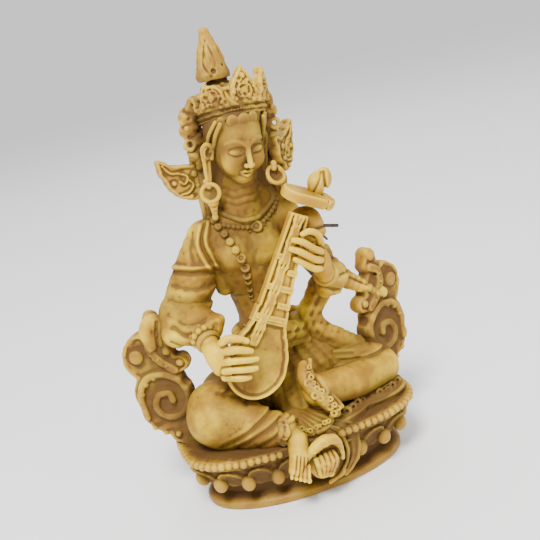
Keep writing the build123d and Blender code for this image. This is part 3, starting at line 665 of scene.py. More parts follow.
def make_torso():
    body = Clay((-20, -6, 36), (16, 20, 101), 0.3)
    body.egg(CHEST, (11.6, 7.4, 12.0))
    body.stroke([SHOULDER_RIGHT, NECK_BASE + (0, 0.5, 1.0), SHOULDER_LEFT], [5.0, 4.8, 4.8], 4.0)
    body.stroke([CHEST + (0, 0.8, -5), WAIST, (-0.5, 8, 42)], [8.6, 6.9, 9.5], 5.0)
    body.egg(CHEST + (-5.4, -4.3, 0.0), (5.0, 4.4, 5.0), blend=2.6)
    body.egg(CHEST + (5.4, -4.2, -0.4), (5.2, 4.4, 5.2), blend=2.6)
    body.egg(WAIST + (0.6, -3.2, 0), (6.0, 4.6, 7.5), blend=3.0)
    body.stroke([NECK_BASE + (0.6, 0, 0), NECK_TOP + (0.8, 0, 0)], [6.0, 5.3], 2.4)
    for height, depth in ((94.0, 0.2), (91.6, 0.32), (89.4, 0.26)):
        middle = np.array((-0.4, -2.6, height))
        ring = ((-5.6, 2.5, 1.4), (-3, 0, 0), (0, 0, 0), (3, 0, 0.2), (5.6, 2.5, 1.6))
        body.crease(flow(middle + ring), 0.5, depth, FRONT, 4)
    body.crease(flow(CHEST + ((0.4, -7, 3.5), (0.6, -7.6, 0), (0.8, -7, -6))), 1.2, 0.35, FRONT, 6)
    body.stroke([(-12.4, 4.5, 71), (-11.2, 4.5, 64.5)], [3.6, 2.6], 1.2)
    body.stroke([(3.5, 5.0, 93), (11.5, 6.5, 84.5)], [3.4, 4.6], 2.0)
    under = ((-10, -3, -3.5), (-6, -7, -6), (0, -7, -4.8), (6, -7, -6), (10, -3, -3.5))
    body.crease(flow(CHEST + under), 1.3, 0.3, FRONT, 6)
    rng = np.random.default_rng(3)
    body.weather(0.07, 1)
    for _ in range(26):
        spot = WAIST + rng.uniform((-7, -9, -8), (7, -4, 9))
        body.crease([spot, spot + rng.uniform(-2.2, 2.2, 3)], 0.6, rng.choice((-0.45, 0.5)))
    skin("torso_and_neck", body, "resin_skin", "torso", "neck")
    return body


def make_hips():
    hips = Clay((-21, -14, 19), (24, 22, 52), 0.34)
    hips.egg((0, 8, 27), (17.5, 12.5, 15.0))
    hips.stroke([(-9, 4, 33), (10, 3, 33)], [8.5, 8.5], 4.0)
    hips.stroke([(-2, -2, 30), (0, -8, 24)], [7.5, 5.0], 3.0)
    hips.stroke([(11.5, 6, 33), (11.0, 6.5, 43)], [9.0, 6.6], 3.0)
    hips.stroke([(-8, 8, 36), (-7, 8, 43)], [8.0, 6.2], 3.0)
    for step in range(7):
        x = -11 + 4.0 * step
        hips.crease(flow([(x * 0.6, 2, 45), (x, -6, 36), (x * 1.2, -9, 26)]), 0.8, 0.55, FRONT, 9)
    for step in range(9):
        x = -14 + 3.5 * step
        hips.crease(flow([(x * 0.7, 18, 42), (x, 21, 32), (x * 1.15, 20, 21)]), 0.8, 0.6, REAR, 6)
    hips.weather(0.16, 2)
    hips.keep_above(TABLE_TOP - 0.5)
    skin("skirt_hips", hips, "resin_drapery", "hips")

    sash = Clay((-16, -9, 37), (19, 21, 54), 0.28)
    centre = at("waist_sash")
    for lift, radius in ((2.0, 1.7), (-0.6, 1.9), (-3.0, 1.6)):
        turn = np.linspace(0, 2 * math.pi, 49)
        loop = np.c_[2.6 + 11.4 * np.cos(turn), 8.4 * np.sin(turn), lift + 0.7 * np.sin(3 * turn)]
        sash.stroke(loop + centre, radius, 0.3)
    front = centre + (1.0, -9.0, 0)
    sash.egg(front, (2.4, 1.8, 2.2), blend=0.4)
    sash.egg(centre + (-9.6, -4.5, 0.6), (2.6, 2.6, 2.8), blend=0.5)
    sash.crease([front + (0, -2, -2), front + (0, -2, 2)], 0.4, 0.4)
    sash.weather(0.28, 3)
    skin("waist_sash_wrap", sash, "resin_drapery", "waist_sash")


def make_legs():
    leg = Clay((-35.5, -26, 18.5), (3, 19, 42), 0.3)
    leg.stroke([(-8, 8, 30.5), (-18, 3, 30.5), KNEE_RIGHT], [9.6, 9.4, 8.5])
    leg.stroke([KNEE_RIGHT, (-16.5, -13, 27.0), ANKLE_RIGHT], [8.2, 6.4, 4.3], 2.5)
    leg.stroke([KNEE_RIGHT + (2, 0, -5), (-12, -15.5, 21.5)], [6, 3.5], 2.5)
    leg.egg(KNEE_RIGHT + (0.6, 2.0, 2.4), (8.3, 8.4, 8.0), blend=1.0)
    for path, depth in (
        ([(-9.8, -18, 31.5), (-14.5, -17, 28.5), (-20, -16, 25.5), (-27, -14, 22.6)], 0.75),
        ([(-8.8, -19, 28.5), (-12.9, -19, 26.4), (-18, -18, 24.2), (-23, -17, 22.0)], 0.7),
        ([(-8.0, -20, 26.0), (-12, -20, 23.6), (-17, -19, 21.4)], 0.55),
        ([(-13, -13, 33.4), (-18, -10, 34.8), (-23, -7, 37)], 0.35),
        ([(-11, 2, 39), (-17, -4, 38), (-21, -7, 36)], 0.5),
        ([(-8, -2, 38), (-13, -8, 35.5), (-16, -11, 33)], 0.6),
    ):
        leg.crease(flow(path), 0.75, depth, FRONT, 6)
        leg.crease(flow(np.array(path) + (0.4, 0, 1.4)), 0.8, -0.32, FRONT, 6)
    leg.keep_above(TABLE_TOP - 0.5)
    skin("right_leg_cloth", leg, "resin_drapery", "right_leg")

    leg = Clay((-2, -21, 18.5), (38.5, 19, 42), 0.3)
    leg.stroke([(8, 8, 31), (18, 4, 31.0), KNEE_LEFT + (-0.5, 1.0, 0.6)], [9.6, 8.2, 6.6])
    leg.stroke([KNEE_LEFT, (17, -11.0, 28.6), ANKLE_LEFT], [6.6, 5.4, 4.9], 0.5)
    groove = flow([(33.8, -4, 33.2), (27, -9, 33.4), (19, -10.5, 34.4), (12, -11, 36.2), (7, -12, 37.6)])
    leg.crease(groove, 0.8, 1.1, FRONT, 6)
    for path, depth in (
        ([(9, 0, 39), (16, -5, 38), (25, -5, 36.5)], 0.6),
        ([(13, 2, 40.5), (21, -3, 38.5), (28, -4, 36.0)], 0.6),
        ([(8, -6, 37.5), (13, -9, 37.4), (20, -9.5, 36)], 0.5),
        ([(6, -4, 42), (9, -8, 38), (10, -11, 36)], 0.6),
    ):
        leg.crease(flow(path), 0.7, depth, FRONT, 6)
        leg.crease(flow(np.array(path) + (0.3, 0, 1.3)), 0.7, -0.3, FRONT, 6)
    leg.keep_above(TABLE_TOP - 0.5)
    skin("left_leg_cloth", leg, "resin_drapery", "left_leg")


# ---------------------------------------------------------------- arms
def folds(clay, rows, reach=6, echo=None):
    """Creases in cloth: a path, a width and a depth each. echo adds a lower fold the other way."""
    for path, width, depth in rows:
        path = flow(path)
        clay.crease(path, width, depth, FRONT, reach)
        if echo:
            drop, share = echo
            clay.crease(path - (0, 0, drop), width, -share * depth, FRONT, reach)


def make_arms():
    arm = Clay((-39, -16, 46), (-6, 15, 92), 0.3)
    arm.stroke([SHOULDER_RIGHT, (-18.6, 4.5, 72.0), ELBOW_RIGHT], [6.0, 6.7, 7.2])
    folds(arm, (
        ([(-12.6, -1.2, 87.0), (-15.0, -3.0, 82.0), (-14.4, -3.6, 77.5), (-13.4, -3.6, 73.4)], 0.8, -1.2),
        ([(-15.6, -1.6, 86.4), (-17.6, -2.6, 81.5), (-17.0, -3.2, 77.0), (-15.6, -3.2, 73.4)], 0.8, -1.0),
        ([(-14.0, -1.8, 86.6), (-16.3, -2.8, 81.8), (-15.7, -3.4, 77.2), (-14.5, -3.4, 73.4)], 0.5, 0.7),
        ([(-18.0, -1.2, 85.0), (-20.0, -2.6, 80), (-20.2, -3.2, 76.6)], 0.8, 0.4),
        ([(-26.5, -1.0, 76.8), (-22.0, -3.0, 75.4), (-18.2, -3.2, 74.4), (-13.0, -3.0, 73.6)], 0.7, -0.9),
        ([(-26.8, -1.0, 75.2), (-22.2, -3.0, 73.8), (-18.2, -3.2, 72.8), (-13.0, -3.0, 72.0)], 0.8, 0.9),
        ([(-27.0, 0, 70.8), (-21.5, -2.6, 68.6), (-16.0, -2.6, 68.6), (-12.0, -1.0, 70.4)], 0.9, 0.5),
        ([(-27.5, 0, 69.0), (-22.0, -2.8, 66.8), (-16.5, -2.8, 66.9), (-12.5, -1.0, 68.6)], 1.1, -0.5),
        ([(-28.6, 0, 66.4), (-24.0, -3.0, 64.2), (-18.5, -3.4, 64.4), (-14.5, -1.5, 66.0)], 0.9, 0.5),
        ([(-29.0, 0, 64.6), (-24.5, -3.2, 62.4), (-19.0, -3.6, 62.4), (-15.0, -1.5, 64.2)], 1.1, -0.5),
    ))
    arm.weather(0.10, 4)
    skin("right_sleeve_folds", arm, "resin_drapery", "right_sleeve")

    cuff = Clay((-39, -14, 46), (-12, 14, 72), 0.28)
    cuff.stroke(
        [ELBOW_RIGHT + (-0.5, 0.5, -0.4), (-23.5, -3.5, 58.4), (-20.8, -6.4, 57.2)], [7.4, 6.0, 4.4]
    )
    cuff.stroke([(-28.0, 0.0, 59.5), (-30.0, -1.6, 57.0)], [5.4, 4.2], 2.4)
    cuff.stroke([(-28.6, -2.4, 56.5), (-25.5, -4.5, 56.0)], [3.6, 3.4], 2.0)
    cuff.stroke([(-20.4, -5.4, 58.6), (-17.6, -5.2, 58.4)], [3.2, 2.3], 1.6)
    cuff.stroke([(-22.5, -10.5, 56.0), (-19.0, -16.0, 55.0)], [3.2, 3.6], 0.6, cut=True)
    folds(cuff, (
        ([(-31.5, -6, 64.2), (-27.6, -6, 60.2), (-21.8, -6, 59.4), (-17.0, -6, 60.2)], 1.2, 0.45),
        ([(-31.0, -6, 62.4), (-27.2, -6, 58.5), (-22.0, -6, 57.9), (-17.4, -6, 58.8)], 1.5, -0.6),
        ([(-30.6, -6, 60.2), (-27.4, -6, 56.9), (-22.8, -6, 56.4), (-18.2, -6, 57.6)], 1.1, 0.7),
        ([(-30.8, -6, 57.8), (-27.6, -6, 55.2), (-24.2, -6, 55.0), (-20.4, -6, 56.0)], 1.3, -0.6),
        ([(-32.4, -6, 56.2), (-29.0, -6, 53.9), (-25.4, -6, 53.8)], 0.8, 0.5),
    ), 9)
    skin("right_cuff_droop", cuff, "resin_drapery", "right_cuff")

    forearm = Clay((-33, -18, 47), (-16, 8, 66), 0.25)
    forearm.stroke([ELBOW_RIGHT + (0, -1, 0), WRIST_RIGHT], [4.2, 2.7])
    ruffle = ELBOW_RIGHT + (WRIST_RIGHT - ELBOW_RIGHT) * 0.80
    axis = (WRIST_RIGHT - ELBOW_RIGHT) / np.linalg.norm(WRIST_RIGHT - ELBOW_RIGHT)
    side = np.cross(axis, (0, 0, 1.0))
    side /= np.linalg.norm(side)
    lift = np.cross(side, axis)
    for number in range(12):
        a = math.radians(30 * number)
        forearm.egg(ruffle + 3.3 * (math.cos(a) * side + math.sin(a) * lift), (1.15, 1.15, 1.15), blend=0.3)
        forearm.egg(
            ruffle - 1.2 * axis + 3.4 * (math.cos(a + 0.26) * side + math.sin(a + 0.26) * lift), 0.95,
            blend=0.3
        )
    skin("right_forearm_ruffle", forearm, "resin_skin", "right_forearm")

    arm = Clay((4, -13, 49), (31, 15, 90), 0.3)
    arm.stroke([SHOULDER_LEFT, (17.0, 5.5, 70.0), ELBOW_LEFT + (-0.3, 0, 1.8)], [5.8, 5.6, 4.6])
    folds(arm, (
        ([(9, -2, 78), (15, -2.5, 75.0), (20, -1, 75.5)], 0.8, 0.6),
        ([(11, -2, 73.5), (17, -2.5, 70.5), (22, -1, 71)], 0.8, 0.6),
        ([(14, -2, 68.0), (19, -2.5, 65.0), (24, -1, 66)], 0.8, 0.6),
    ), echo=(1.7, 0.5))
    skin("left_sleeve_folds", arm, "resin_drapery", "left_sleeve")

    cuff = Clay((9, -14, 44), (34, 12, 70), 0.28)
    cuff.stroke([ELBOW_LEFT + (0.2, -0.8, 1.8), (20.8, -2.4, 60.2), (18.8, -4.8, 61.4)], [4.8, 4.9, 4.2])
    cuff.stroke([(20.0, -2.5, 58.2), (17.6, -3.4, 57.4)], [3.8, 3.0], 2.0)
    folds(cuff, (
        ([(15.5, -6.5, 59.8), (18.5, -8.5, 58.0), (22.5, -6.5, 56.6), (26.5, -2, 56.5)], 0.7, 0.4),
        ([(16.5, -8.0, 62.9), (20.5, -7.0, 61.4), (26.0, -3.0, 60.4)], 0.7, 0.35),
    ), 7, echo=(1.4, 0.6))
    skin("left_cuff_flare", cuff, "resin_drapery", "left_cuff")

    forearm = Clay((10, -15, 54), (27, 5, 72), 0.25)
    forearm.stroke([ELBOW_LEFT + (-1.5, -3, 1.5), WRIST_LEFT], [3.9, 2.9])
    skin("left_forearm_bare", forearm, "resin_skin", "left_forearm")

    rings = []
    for elbow, wrist, radius in ((ELBOW_RIGHT, WRIST_RIGHT, 3.1), (ELBOW_LEFT, WRIST_LEFT, 3.2)):
        centre = elbow + (wrist - elbow) * 0.95
        clay = Clay(centre - 6, centre + 6, 0.22)
        clay.ring(centre, wrist - elbow, radius, 0.75, squash=0.8)
        rings.append(clay)
    skin("wrist_bangles", rings, "resin_ornament", "bracelets")


# ---------------------------------------------------------------- hands
def finger(clay, joints, radii):
    path = flow(joints, 4)
    clay.stroke(path, spread(radii, len(path)), 0.35)


def make_hands():
    hand = Clay((-28, -25, 38), (-6, -5, 60), 0.2)
    palm = np.array((-20.8, -15.8, 50.0))
    hand.stroke([WRIST_RIGHT + (-0.3, 0.5, -0.2), palm + (-1.0, 0.6, 1.6)], [2.7, 3.4])
    hand.egg(palm, (3.5, 2.8, 4.9), (0, 14, 0), blend=1.4)
    for joints, radii in (
        ([(-20.0, -17.2, 52.6), (-16.8, -19.4, 52.9), (-14.2, -20.0, 52.1), (-12.6, -19.4, 51.2)],
         (1.45, 1.2, 1.05, 0.85)),
        ([(-20.4, -17.8, 50.0), (-16.6, -20.0, 49.9), (-13.8, -20.4, 49.3), (-11.6, -19.8, 48.7)],
         (1.5, 1.25, 1.1, 0.85)),
        ([(-20.8, -17.8, 47.4), (-17.0, -20.0, 47.0), (-14.2, -20.2, 46.4), (-12.4, -19.6, 45.9)],
         (1.45, 1.2, 1.1, 0.85)),
        ([(-21.2, -17.2, 45.2), (-17.6, -19.4, 44.4), (-15.8, -19.4, 43.9), (-14.6, -18.9, 43.5)],
         (1.3, 1.1, 0.95, 0.75)),
        ([(-20.6, -15.6, 53.6), (-18.2, -17.0, 55.8), (-15.2, -18.2, 55.4), (-13.0, -18.6, 54.2)],
         (1.6, 1.35, 1.15, 0.9)),
    ):
        finger(hand, joints, radii)
    for gap in (
        ((-18.6, -20, 51.3), (-11.6, -22, 50.2)),
        ((-19.0, -20, 48.7), (-10.8, -22, 47.4)),
        ((-19.3, -20, 46.2), (-12.0, -22, 44.8)),
    ):
        hand.crease(gap, 0.32, 0.55, FRONT, 4)
    skin("right_hand_plucking", hand, "resin_skin", "right_hand")

    hand = Clay((2, -21, 57), (23, -1, 84), 0.2)
    palm = np.array((15.6, -10.6, 69.5))
    hand.stroke([WRIST_LEFT, palm + (0, 0.6, -2.0)], [2.8, 3.2])
    hand.egg(palm, (2.8, 3.0, 4.8), (0, -8, 0), blend=1.5)
    for joints, radii in (
        ([(16.4, -12.2, 73.6), (15.4, -14.4, 77.2), (12.6, -16.4, 79.4), (10.2, -16.6, 79.2)],
         (1.2, 1.05, 0.95, 0.8)),
        ([(15.4, -13.2, 71.8), (12.8, -15.8, 74.0), (9.6, -17.4, 77.2), (7.2, -17.0, 78.4)],
         (1.25, 1.1, 1.0, 0.85)),
        ([(14.8, -13.4, 69.4), (12.0, -16.2, 71.2), (8.6, -17.6, 74.4), (6.0, -16.8, 76.0)],
         (1.25, 1.1, 1.0, 0.85)),
        ([(14.4, -13.0, 67.0), (11.8, -15.8, 68.2), (8.8, -17.0, 70.8), (6.6, -16.6, 72.6)],
         (1.2, 1.05, 0.95, 0.8)),
        ([(15.8, -8.6, 72.6), (13.4, -9.4, 76.0), (10.6, -9.8, 78.0)], (1.6, 1.4, 1.1)),
    ):
        finger(hand, joints, radii)
    skin("left_hand_on_neck", hand, "resin_skin", "left_hand")


# ---------------------------------------------------------------- lute
LUTE_ALONG = (0.868, 0.0, -0.497)
LUTE_UP = (0.497, 0.033, 0.868)
LUTE_TAIL = np.array((-16.0, -15.2, 36.2))
LUTE = frame_at(LUTE_TAIL, LUTE_ALONG, LUTE_UP)
PEAR = ((0, 8.4), (0, 9.3), (0, 12.0), (0, 15.5), (0, 19.0), (0, 22.5))
PEAR_RADII = (8.8, 9.3, 9.0, 7.8, 6.4, 5.4)
NECK_LENGTH = 55.5
# Place along the neck and both ends of each fret
FRETS = (
    (24.4, -4.8, 4.9), (28.6, 0.6, 4.5), (33.5, -4.2, 4.2), (38.5, 0.8, 3.9), (42.5, -3.7, -0.6),
    (45.5, 0.6, 3.5)
)


def make_lute():
    board = Plate((-11, -2), (11, 26), 1.8, LUTE, 0.2)
    board.fill(PEAR, PEAR_RADII, 0.0)
    board.outline = np.maximum(board.outline, board.v - 23.6)
    edge = -board.outline
    board.relief += 0.75 * np.exp(-(((edge - 0.5) / 0.42) ** 2)) - 0.35 * np.clip((edge - 1.0) / 0.6, 0, 1)
    board.relief += 0.25 * np.clip((edge - 3.0) / 4.0, 0, 1)
    skin("lute_soundboard_rim", board.cast(0.5), "resin_lute", "lute_soundboard")

    bowl = Clay((-11, -1.5, -2), (11, 9, 27), 0.28, LUTE)
    bowl.egg((0, 0.2, 9.5), (8.8, 6.6, 9.6))
    bowl.stroke([(0, 0.2, 12), (0, 0.0, 24)], [7.4, 4.6], 2.0)
    bowl.field = np.maximum(bowl.field, 0.2 - bowl.whole()[1])
    skin("lute_bowl_round", bowl, "resin_lute", "lute_bowl")

    neck = Plate((-8, 19), (8, 58), 2.8, LUTE @ Matrix.Translation((0, 0.6, 0)), 0.22)
    half = np.interp(neck.v, (22.6, 27.2, 27.6, NECK_LENGTH), (5.6, 5.0, 4.6, 2.7))
    neck.outline = np.maximum(np.abs(neck.u) - half, np.maximum(22.6 - neck.v, neck.v - NECK_LENGTH))
    edge = -neck.outline
    neck.relief += 0.35 * np.exp(-(((edge - 0.45) / 0.4) ** 2)) - 0.25 * np.clip((edge - 0.8) / 0.4, 0, 1)
    skin("lute_neck_rimmed", neck.cast(0.4), "resin_lute", "lute_neck")

    strings = Clay((-6.5, -4.5, 8), (4.5, 1, 58), 0.2, LUTE)
    for low_x, high_x, wobble in ((-4.3, -1.0, 0.0), (-3.3, -0.1, 1.3), (-2.3, 0.8, 2.6)):
        heights = np.linspace(16.0, NECK_LENGTH - 0.5, 40)
        middle_x = 0.45 * low_x + 0.55 * high_x
        lean = np.interp(heights, (16.0, 30.0, NECK_LENGTH), (low_x, middle_x, high_x))
        across = lean + 0.2 * np.sin(heights * 0.9 + wobble)
        deep = -1.5 - 0.15 * np.sin(heights * 1.7 + wobble)
        strings.stroke(np.c_[across, deep, heights], 0.52, 0.15)
    strings.weather(0.12, 6, 2.0)
    skin("lute_string_ropes", strings, "resin_lute", "lute_strings")

    frets = Clay((-6.5, -3.5, 8), (6.5, 1.5, 54), 0.22, LUTE)
    x, y, z = frets.whole()
    for height, start, end in FRETS:
        middle, half_width = (start + end) / 2, (end - start) / 2
        block = np.maximum(
            np.maximum(np.abs(x - middle) - half_width, np.abs(z - height) - 0.9), np.abs(y + 1.0) - 0.75
        )
        frets.field = soft_min(frets.field, block.astype(np.float32), 0.3)
    skin("lute_fret_blocks", frets, "resin_lute", "lute_frets")

    pegbox = Clay((5, -15, 70), (22, -1, 88), 0.28)
    centre = at("lute_pegbox")
    pegbox.egg(centre + (1.2, 0.6, 1.0), (5.0, 4.4, 4.6), (0, 20, 0))
    pegbox.egg(centre + (3.5, 0.8, -2.6), (3.4, 3.2, 4.0), (0, 15, 0), blend=1.4)
    pegbox.crease(flow([(9, -12, 82), (14, -13.5, 79.0), (20, -11, 78.5)]), 0.6, 0.6, FRONT, 5)
    pegbox.crease(flow([(12, -12, 77.5), (16, -13, 75.8), (20, -11, 75.4)]), 0.5, 0.4, FRONT, 5)
    skin("lute_pegbox_knob", pegbox, "resin_lute", "lute_pegbox")

    head_place = frame_at(at("lute_headstock", 0.48, 0.48, 0.55), (0.90, 0.22, -0.50), (0.10, -0.95, -0.30))
    stock = Plate((-10, -6.5), (10, 6.5), 3.0, head_place, 0.22)
    stock.fill([(-4.6, 0.4), (4.0, 0)], [4.3, 4.7], 1.0)
    stock.relief += 0.3 * np.exp(-(((-stock.outline - 0.4) / 0.5) ** 2))
    stock.groove([(4.9, -6), (4.4, 6)], 0.35, 0.9)
    stock.groove([(4.4, 0), (9, -0.4)], 0.3, 0.5)
    skin("lute_headstock_disc", stock.cast(1.3), "resin_lute", "lute_headstock")

    finial = Clay((12, -18, 83), (28, -2, 98), 0.22)
    root = at("headstock_finial", 0.35, 0.5, 0.1)
    finial.egg(root + (0.6, 0.6, 2.6), (3.2, 2.6, 3.6), (0, 30, 20))
    finial.egg(root + (2.9, 0.9, 3.4), (2.4, 2.2, 3.4), (0, 12, 0), blend=0.8)
    finial.crease(flow(root + ((-2, -2.5, 1), (0.5, -2.8, 4.2), (1.6, -2, 6.2))), 0.45, 0.5, FRONT, 4)
    finial.crease(flow(root + ((1.8, -2.5, -1), (1.9, -2.8, 3), (2.4, -2, 6))), 0.5, 0.9, FRONT, 4)
    skin("headstock_leaf", finial, "resin_lute", "headstock_finial")


# ---------------------------------------------------------------- head
HEAD_PLACE = Matrix.Translation(Vector(HEAD)) @ Euler(
    [math.radians(turn) for turn in (16.0, 4.5, 11.5)]
).to_matrix().to_4x4() @ Matrix.Diagonal((1.0, 1.0, 1.07, 1.0))
SKULL = ((0, 1, 2), (7.6, 8.8, 9.2))
SIDES = (-1, 1)


def settle(clay, points, lift=0.0, along=FRONT, reach=9.0):
    """Moves each point along a direction until it lies that far out of the clay's surface."""
    low = [axis[0] for axis in clay.axes]
    settled = []
    for point in np.array(points, dtype=float):
        spots = point + np.arange(reach, -reach, -0.1)[:, None] * along
        settled.append(spots[np.argmax(sample(clay.field, spots, low, clay.voxel) < lift)])
    return np.array(settled)


def make_head():
    head = Clay((-9.5, -12, -13), (9.5, 11, 12), 0.18, HEAD_PLACE)
    head.egg(*SKULL)
    head.egg((0, -1.4, -3.0), (6.5, 6.3, 8.1), blend=2.5)
    head.egg((0, -4.6, -8.9), (2.9, 2.7, 2.3), blend=1.6)
    head.stroke([(0, 2.4, -6), (0, 3.4, -13)], [4.1, 4.1], 2.0)
    for side in SIDES:
        head.egg((side * 3.7, -5.1, -4.2), (2.9, 2.2, 3.2), blend=1.6)
        head.egg((side * 3.1, -8.5, -0.5), (2.5, 1.25, 1.35), (0, side * 6, 0), 1.0, cut=True)
        head.egg((side * 3.15, -6.15, -1.25), (2.25, 1.5, 1.35), blend=0.25)
        lid = ((1.1, -1.7), (2.1, -2.15), (3.3, -2.15), (4.6, -1.75), (5.4, -1.2))
        fold = ((1.0, -0.8), (2.2, 0.1), (3.6, 0.2), (5.2, -0.6))
        brow = ((0.8, 0.7), (2.2, 1.75), (4.0, 1.95), (5.8, 1.1))
        for line, out, width, depth in (
            (lid, 8.2, 0.26, 0.36), (fold, 8.2, 0.25, 0.22), (brow, 8.4, 0.5, -0.38)
        ):
            path = settle(head, [(side * u, -out, v) for u, v in line], along=-REAR)
            head.crease(flow(path), width, depth)
    head.stroke([(0, -7.5, 1.0), (0, -8.5, -2.0), (0, -9.5, -4.5)], [0.55, 0.72, 0.85], 0.9)
    for side in SIDES:
        head.egg((side * 1.0, -8.6, -4.75), (0.65, 0.8, 0.6), blend=0.45)
        head.egg((side * 0.55, -8.9, -5.45), (0.3, 0.5, 0.3), blend=0.1, cut=True)
    head.crease([(0, -8.2, -5.6), (0, -8.1, -6.3)], 0.3, 0.25)
    head.stroke(
        flow([
            (-1.95, -7.15, -7.05), (-0.8, -7.75, -6.65), (0, -7.8, -6.85), (0.8, -7.75, -6.65),
            (1.95, -7.15, -7.05)
        ]),
        spread((0.25, 0.42, 0.38, 0.42, 0.25), 25), 0.45
    )
    head.stroke(
        flow([(-1.5, -7.1, -7.5), (0, -7.5, -8.0), (1.5, -7.1, -7.5)]), spread((0.25, 0.5, 0.25), 13), 0.45
    )
    head.crease(
        flow([
            (-2.1, -7.3, -7.15), (-0.8, -8.0, -7.3), (0, -8.1, -7.4), (0.8, -8.0, -7.3), (2.1, -7.3, -7.15)
        ]), 0.2, 0.35
    )
    skin("calm_face", head, "resin_face", "head")

    cap = Clay((-10.5, -11, -10), (10.5, 13, 14), 0.25, HEAD_PLACE)
    cap.egg((0, 1.7, 2.4), (8.5, 9.2, 9.9))
    _, y, z = cap.whole()
    cap.field = np.maximum(cap.field, -np.maximum(y + 1.8, z - 7.4)).astype(np.float32)
    for x, z_low, width in (
        (-5.9, 5.3, 1.35), (-3.4, 6.1, 1.6), (-0.4, 6.35, 1.75), (2.7, 6.25, 1.7), (5.4, 5.7, 1.4)
    ):
        y_front = 1 - 8.8 * math.sqrt(max(0.05, 1 - (x / 7.7) ** 2 - ((z_low - 2) / 9.3) ** 2))
        cap.egg((x, y_front + 0.45, z_low + 1.0), (width * 1.12, 0.55, 1.9), (0, 0, x * 5.5), 0.15)
    for side in SIDES:
        edge = flow([
            (side * 6.9, -4.6, 6.6), (side * 7.7, -3.2, 3.4), (side * 7.9, -2.2, 0.4),
            (side * 8.3, -0.6, -2.0)
        ])
        cap.stroke(edge, 0.62, 0.15)
        outer = flow([(side * 7.9, -3.6, 7.0), (side * 8.9, -1.6, 3.4), (side * 9.0, -0.4, 0.6)])
        cap.stroke(outer, 0.55, 0.15)
    for step in range(15):
        x = -7.7 + 1.1 * step
        back = [(x * 0.35, 3, 12.2), (x * 0.8, 8.2, 7.5), (x * 1.05, 10.6, 2.0), (x, 10.2, -5.0)]
        cap.crease(flow(back), 0.36, 0.5)
    skin("hair_cap_fringe", cap, "resin_hair", "hair_cap")

    ears = []
    for side in SIDES:
        ear = Clay((side * 9.0 - 4, -5, -13), (side * 9.0 + 4, 5, 4), 0.2, HEAD_PLACE)
        ear.egg((side * 8.9, 0.4, -2.3), (1.8, 1.5, 2.9), (8, 0, 0))
        helix = flow([
            (side * 8.2, -1.2, -3.6), (side * 8.0, -1.3, -0.9), (side * 9.3, -0.6, 0.4),
            (side * 10.4, 0.4, -1.2), (side * 10.1, 0.3, -4.2)
        ])
        ear.stroke(helix, 0.6, 0.25)
        ear.egg((side * 9.2, -1.2, -2.2), (0.95, 1.0, 1.6), cut=True, blend=0.2)
        for shift in (-0.7, 0.7):
            lobe = [
                (side * (9.3 + shift), 0.2, -4.2), (side * (9.3 + 0.8 * shift), -0.2, -7.5),
                (side * (9.2 + 0.4 * shift), -0.6, -10.6)
            ]
            ear.stroke(flow(lobe), 0.62, 0.3)
        ears.append(ear)
    skin("long_lobed_ears", ears, "resin_face", "ears")


# ---------------------------------------------------------------- crown
CROWN_PLACE = Matrix.Translation(Vector(at("crown_band") + (0.6, 0, 0.6))) @ Euler(
    [math.radians(turn) for turn in (-9.0, 4.0, 11.5)]
).to_matrix().to_4x4()
CROWN_X, CROWN_Y = 9.1, 9.9
LEAF_BEARINGS = (-100, -50, 0, 50, 100)
LEAF_REACH = {-100: (0.0, 5.0), -50: (-1.8, 7.6), 0: (0.3, 10.6), 50: (0.8, 9.8), 100: (0.0, 7.0)}


def crown_loop(height, flare=0.0, count=97):
    turn = np.linspace(0, 2 * math.pi, count)
    return np.c_[
        (CROWN_X + flare) * np.sin(turn), -(CROWN_Y + flare) * np.cos(turn), np.full(count, height)
    ]


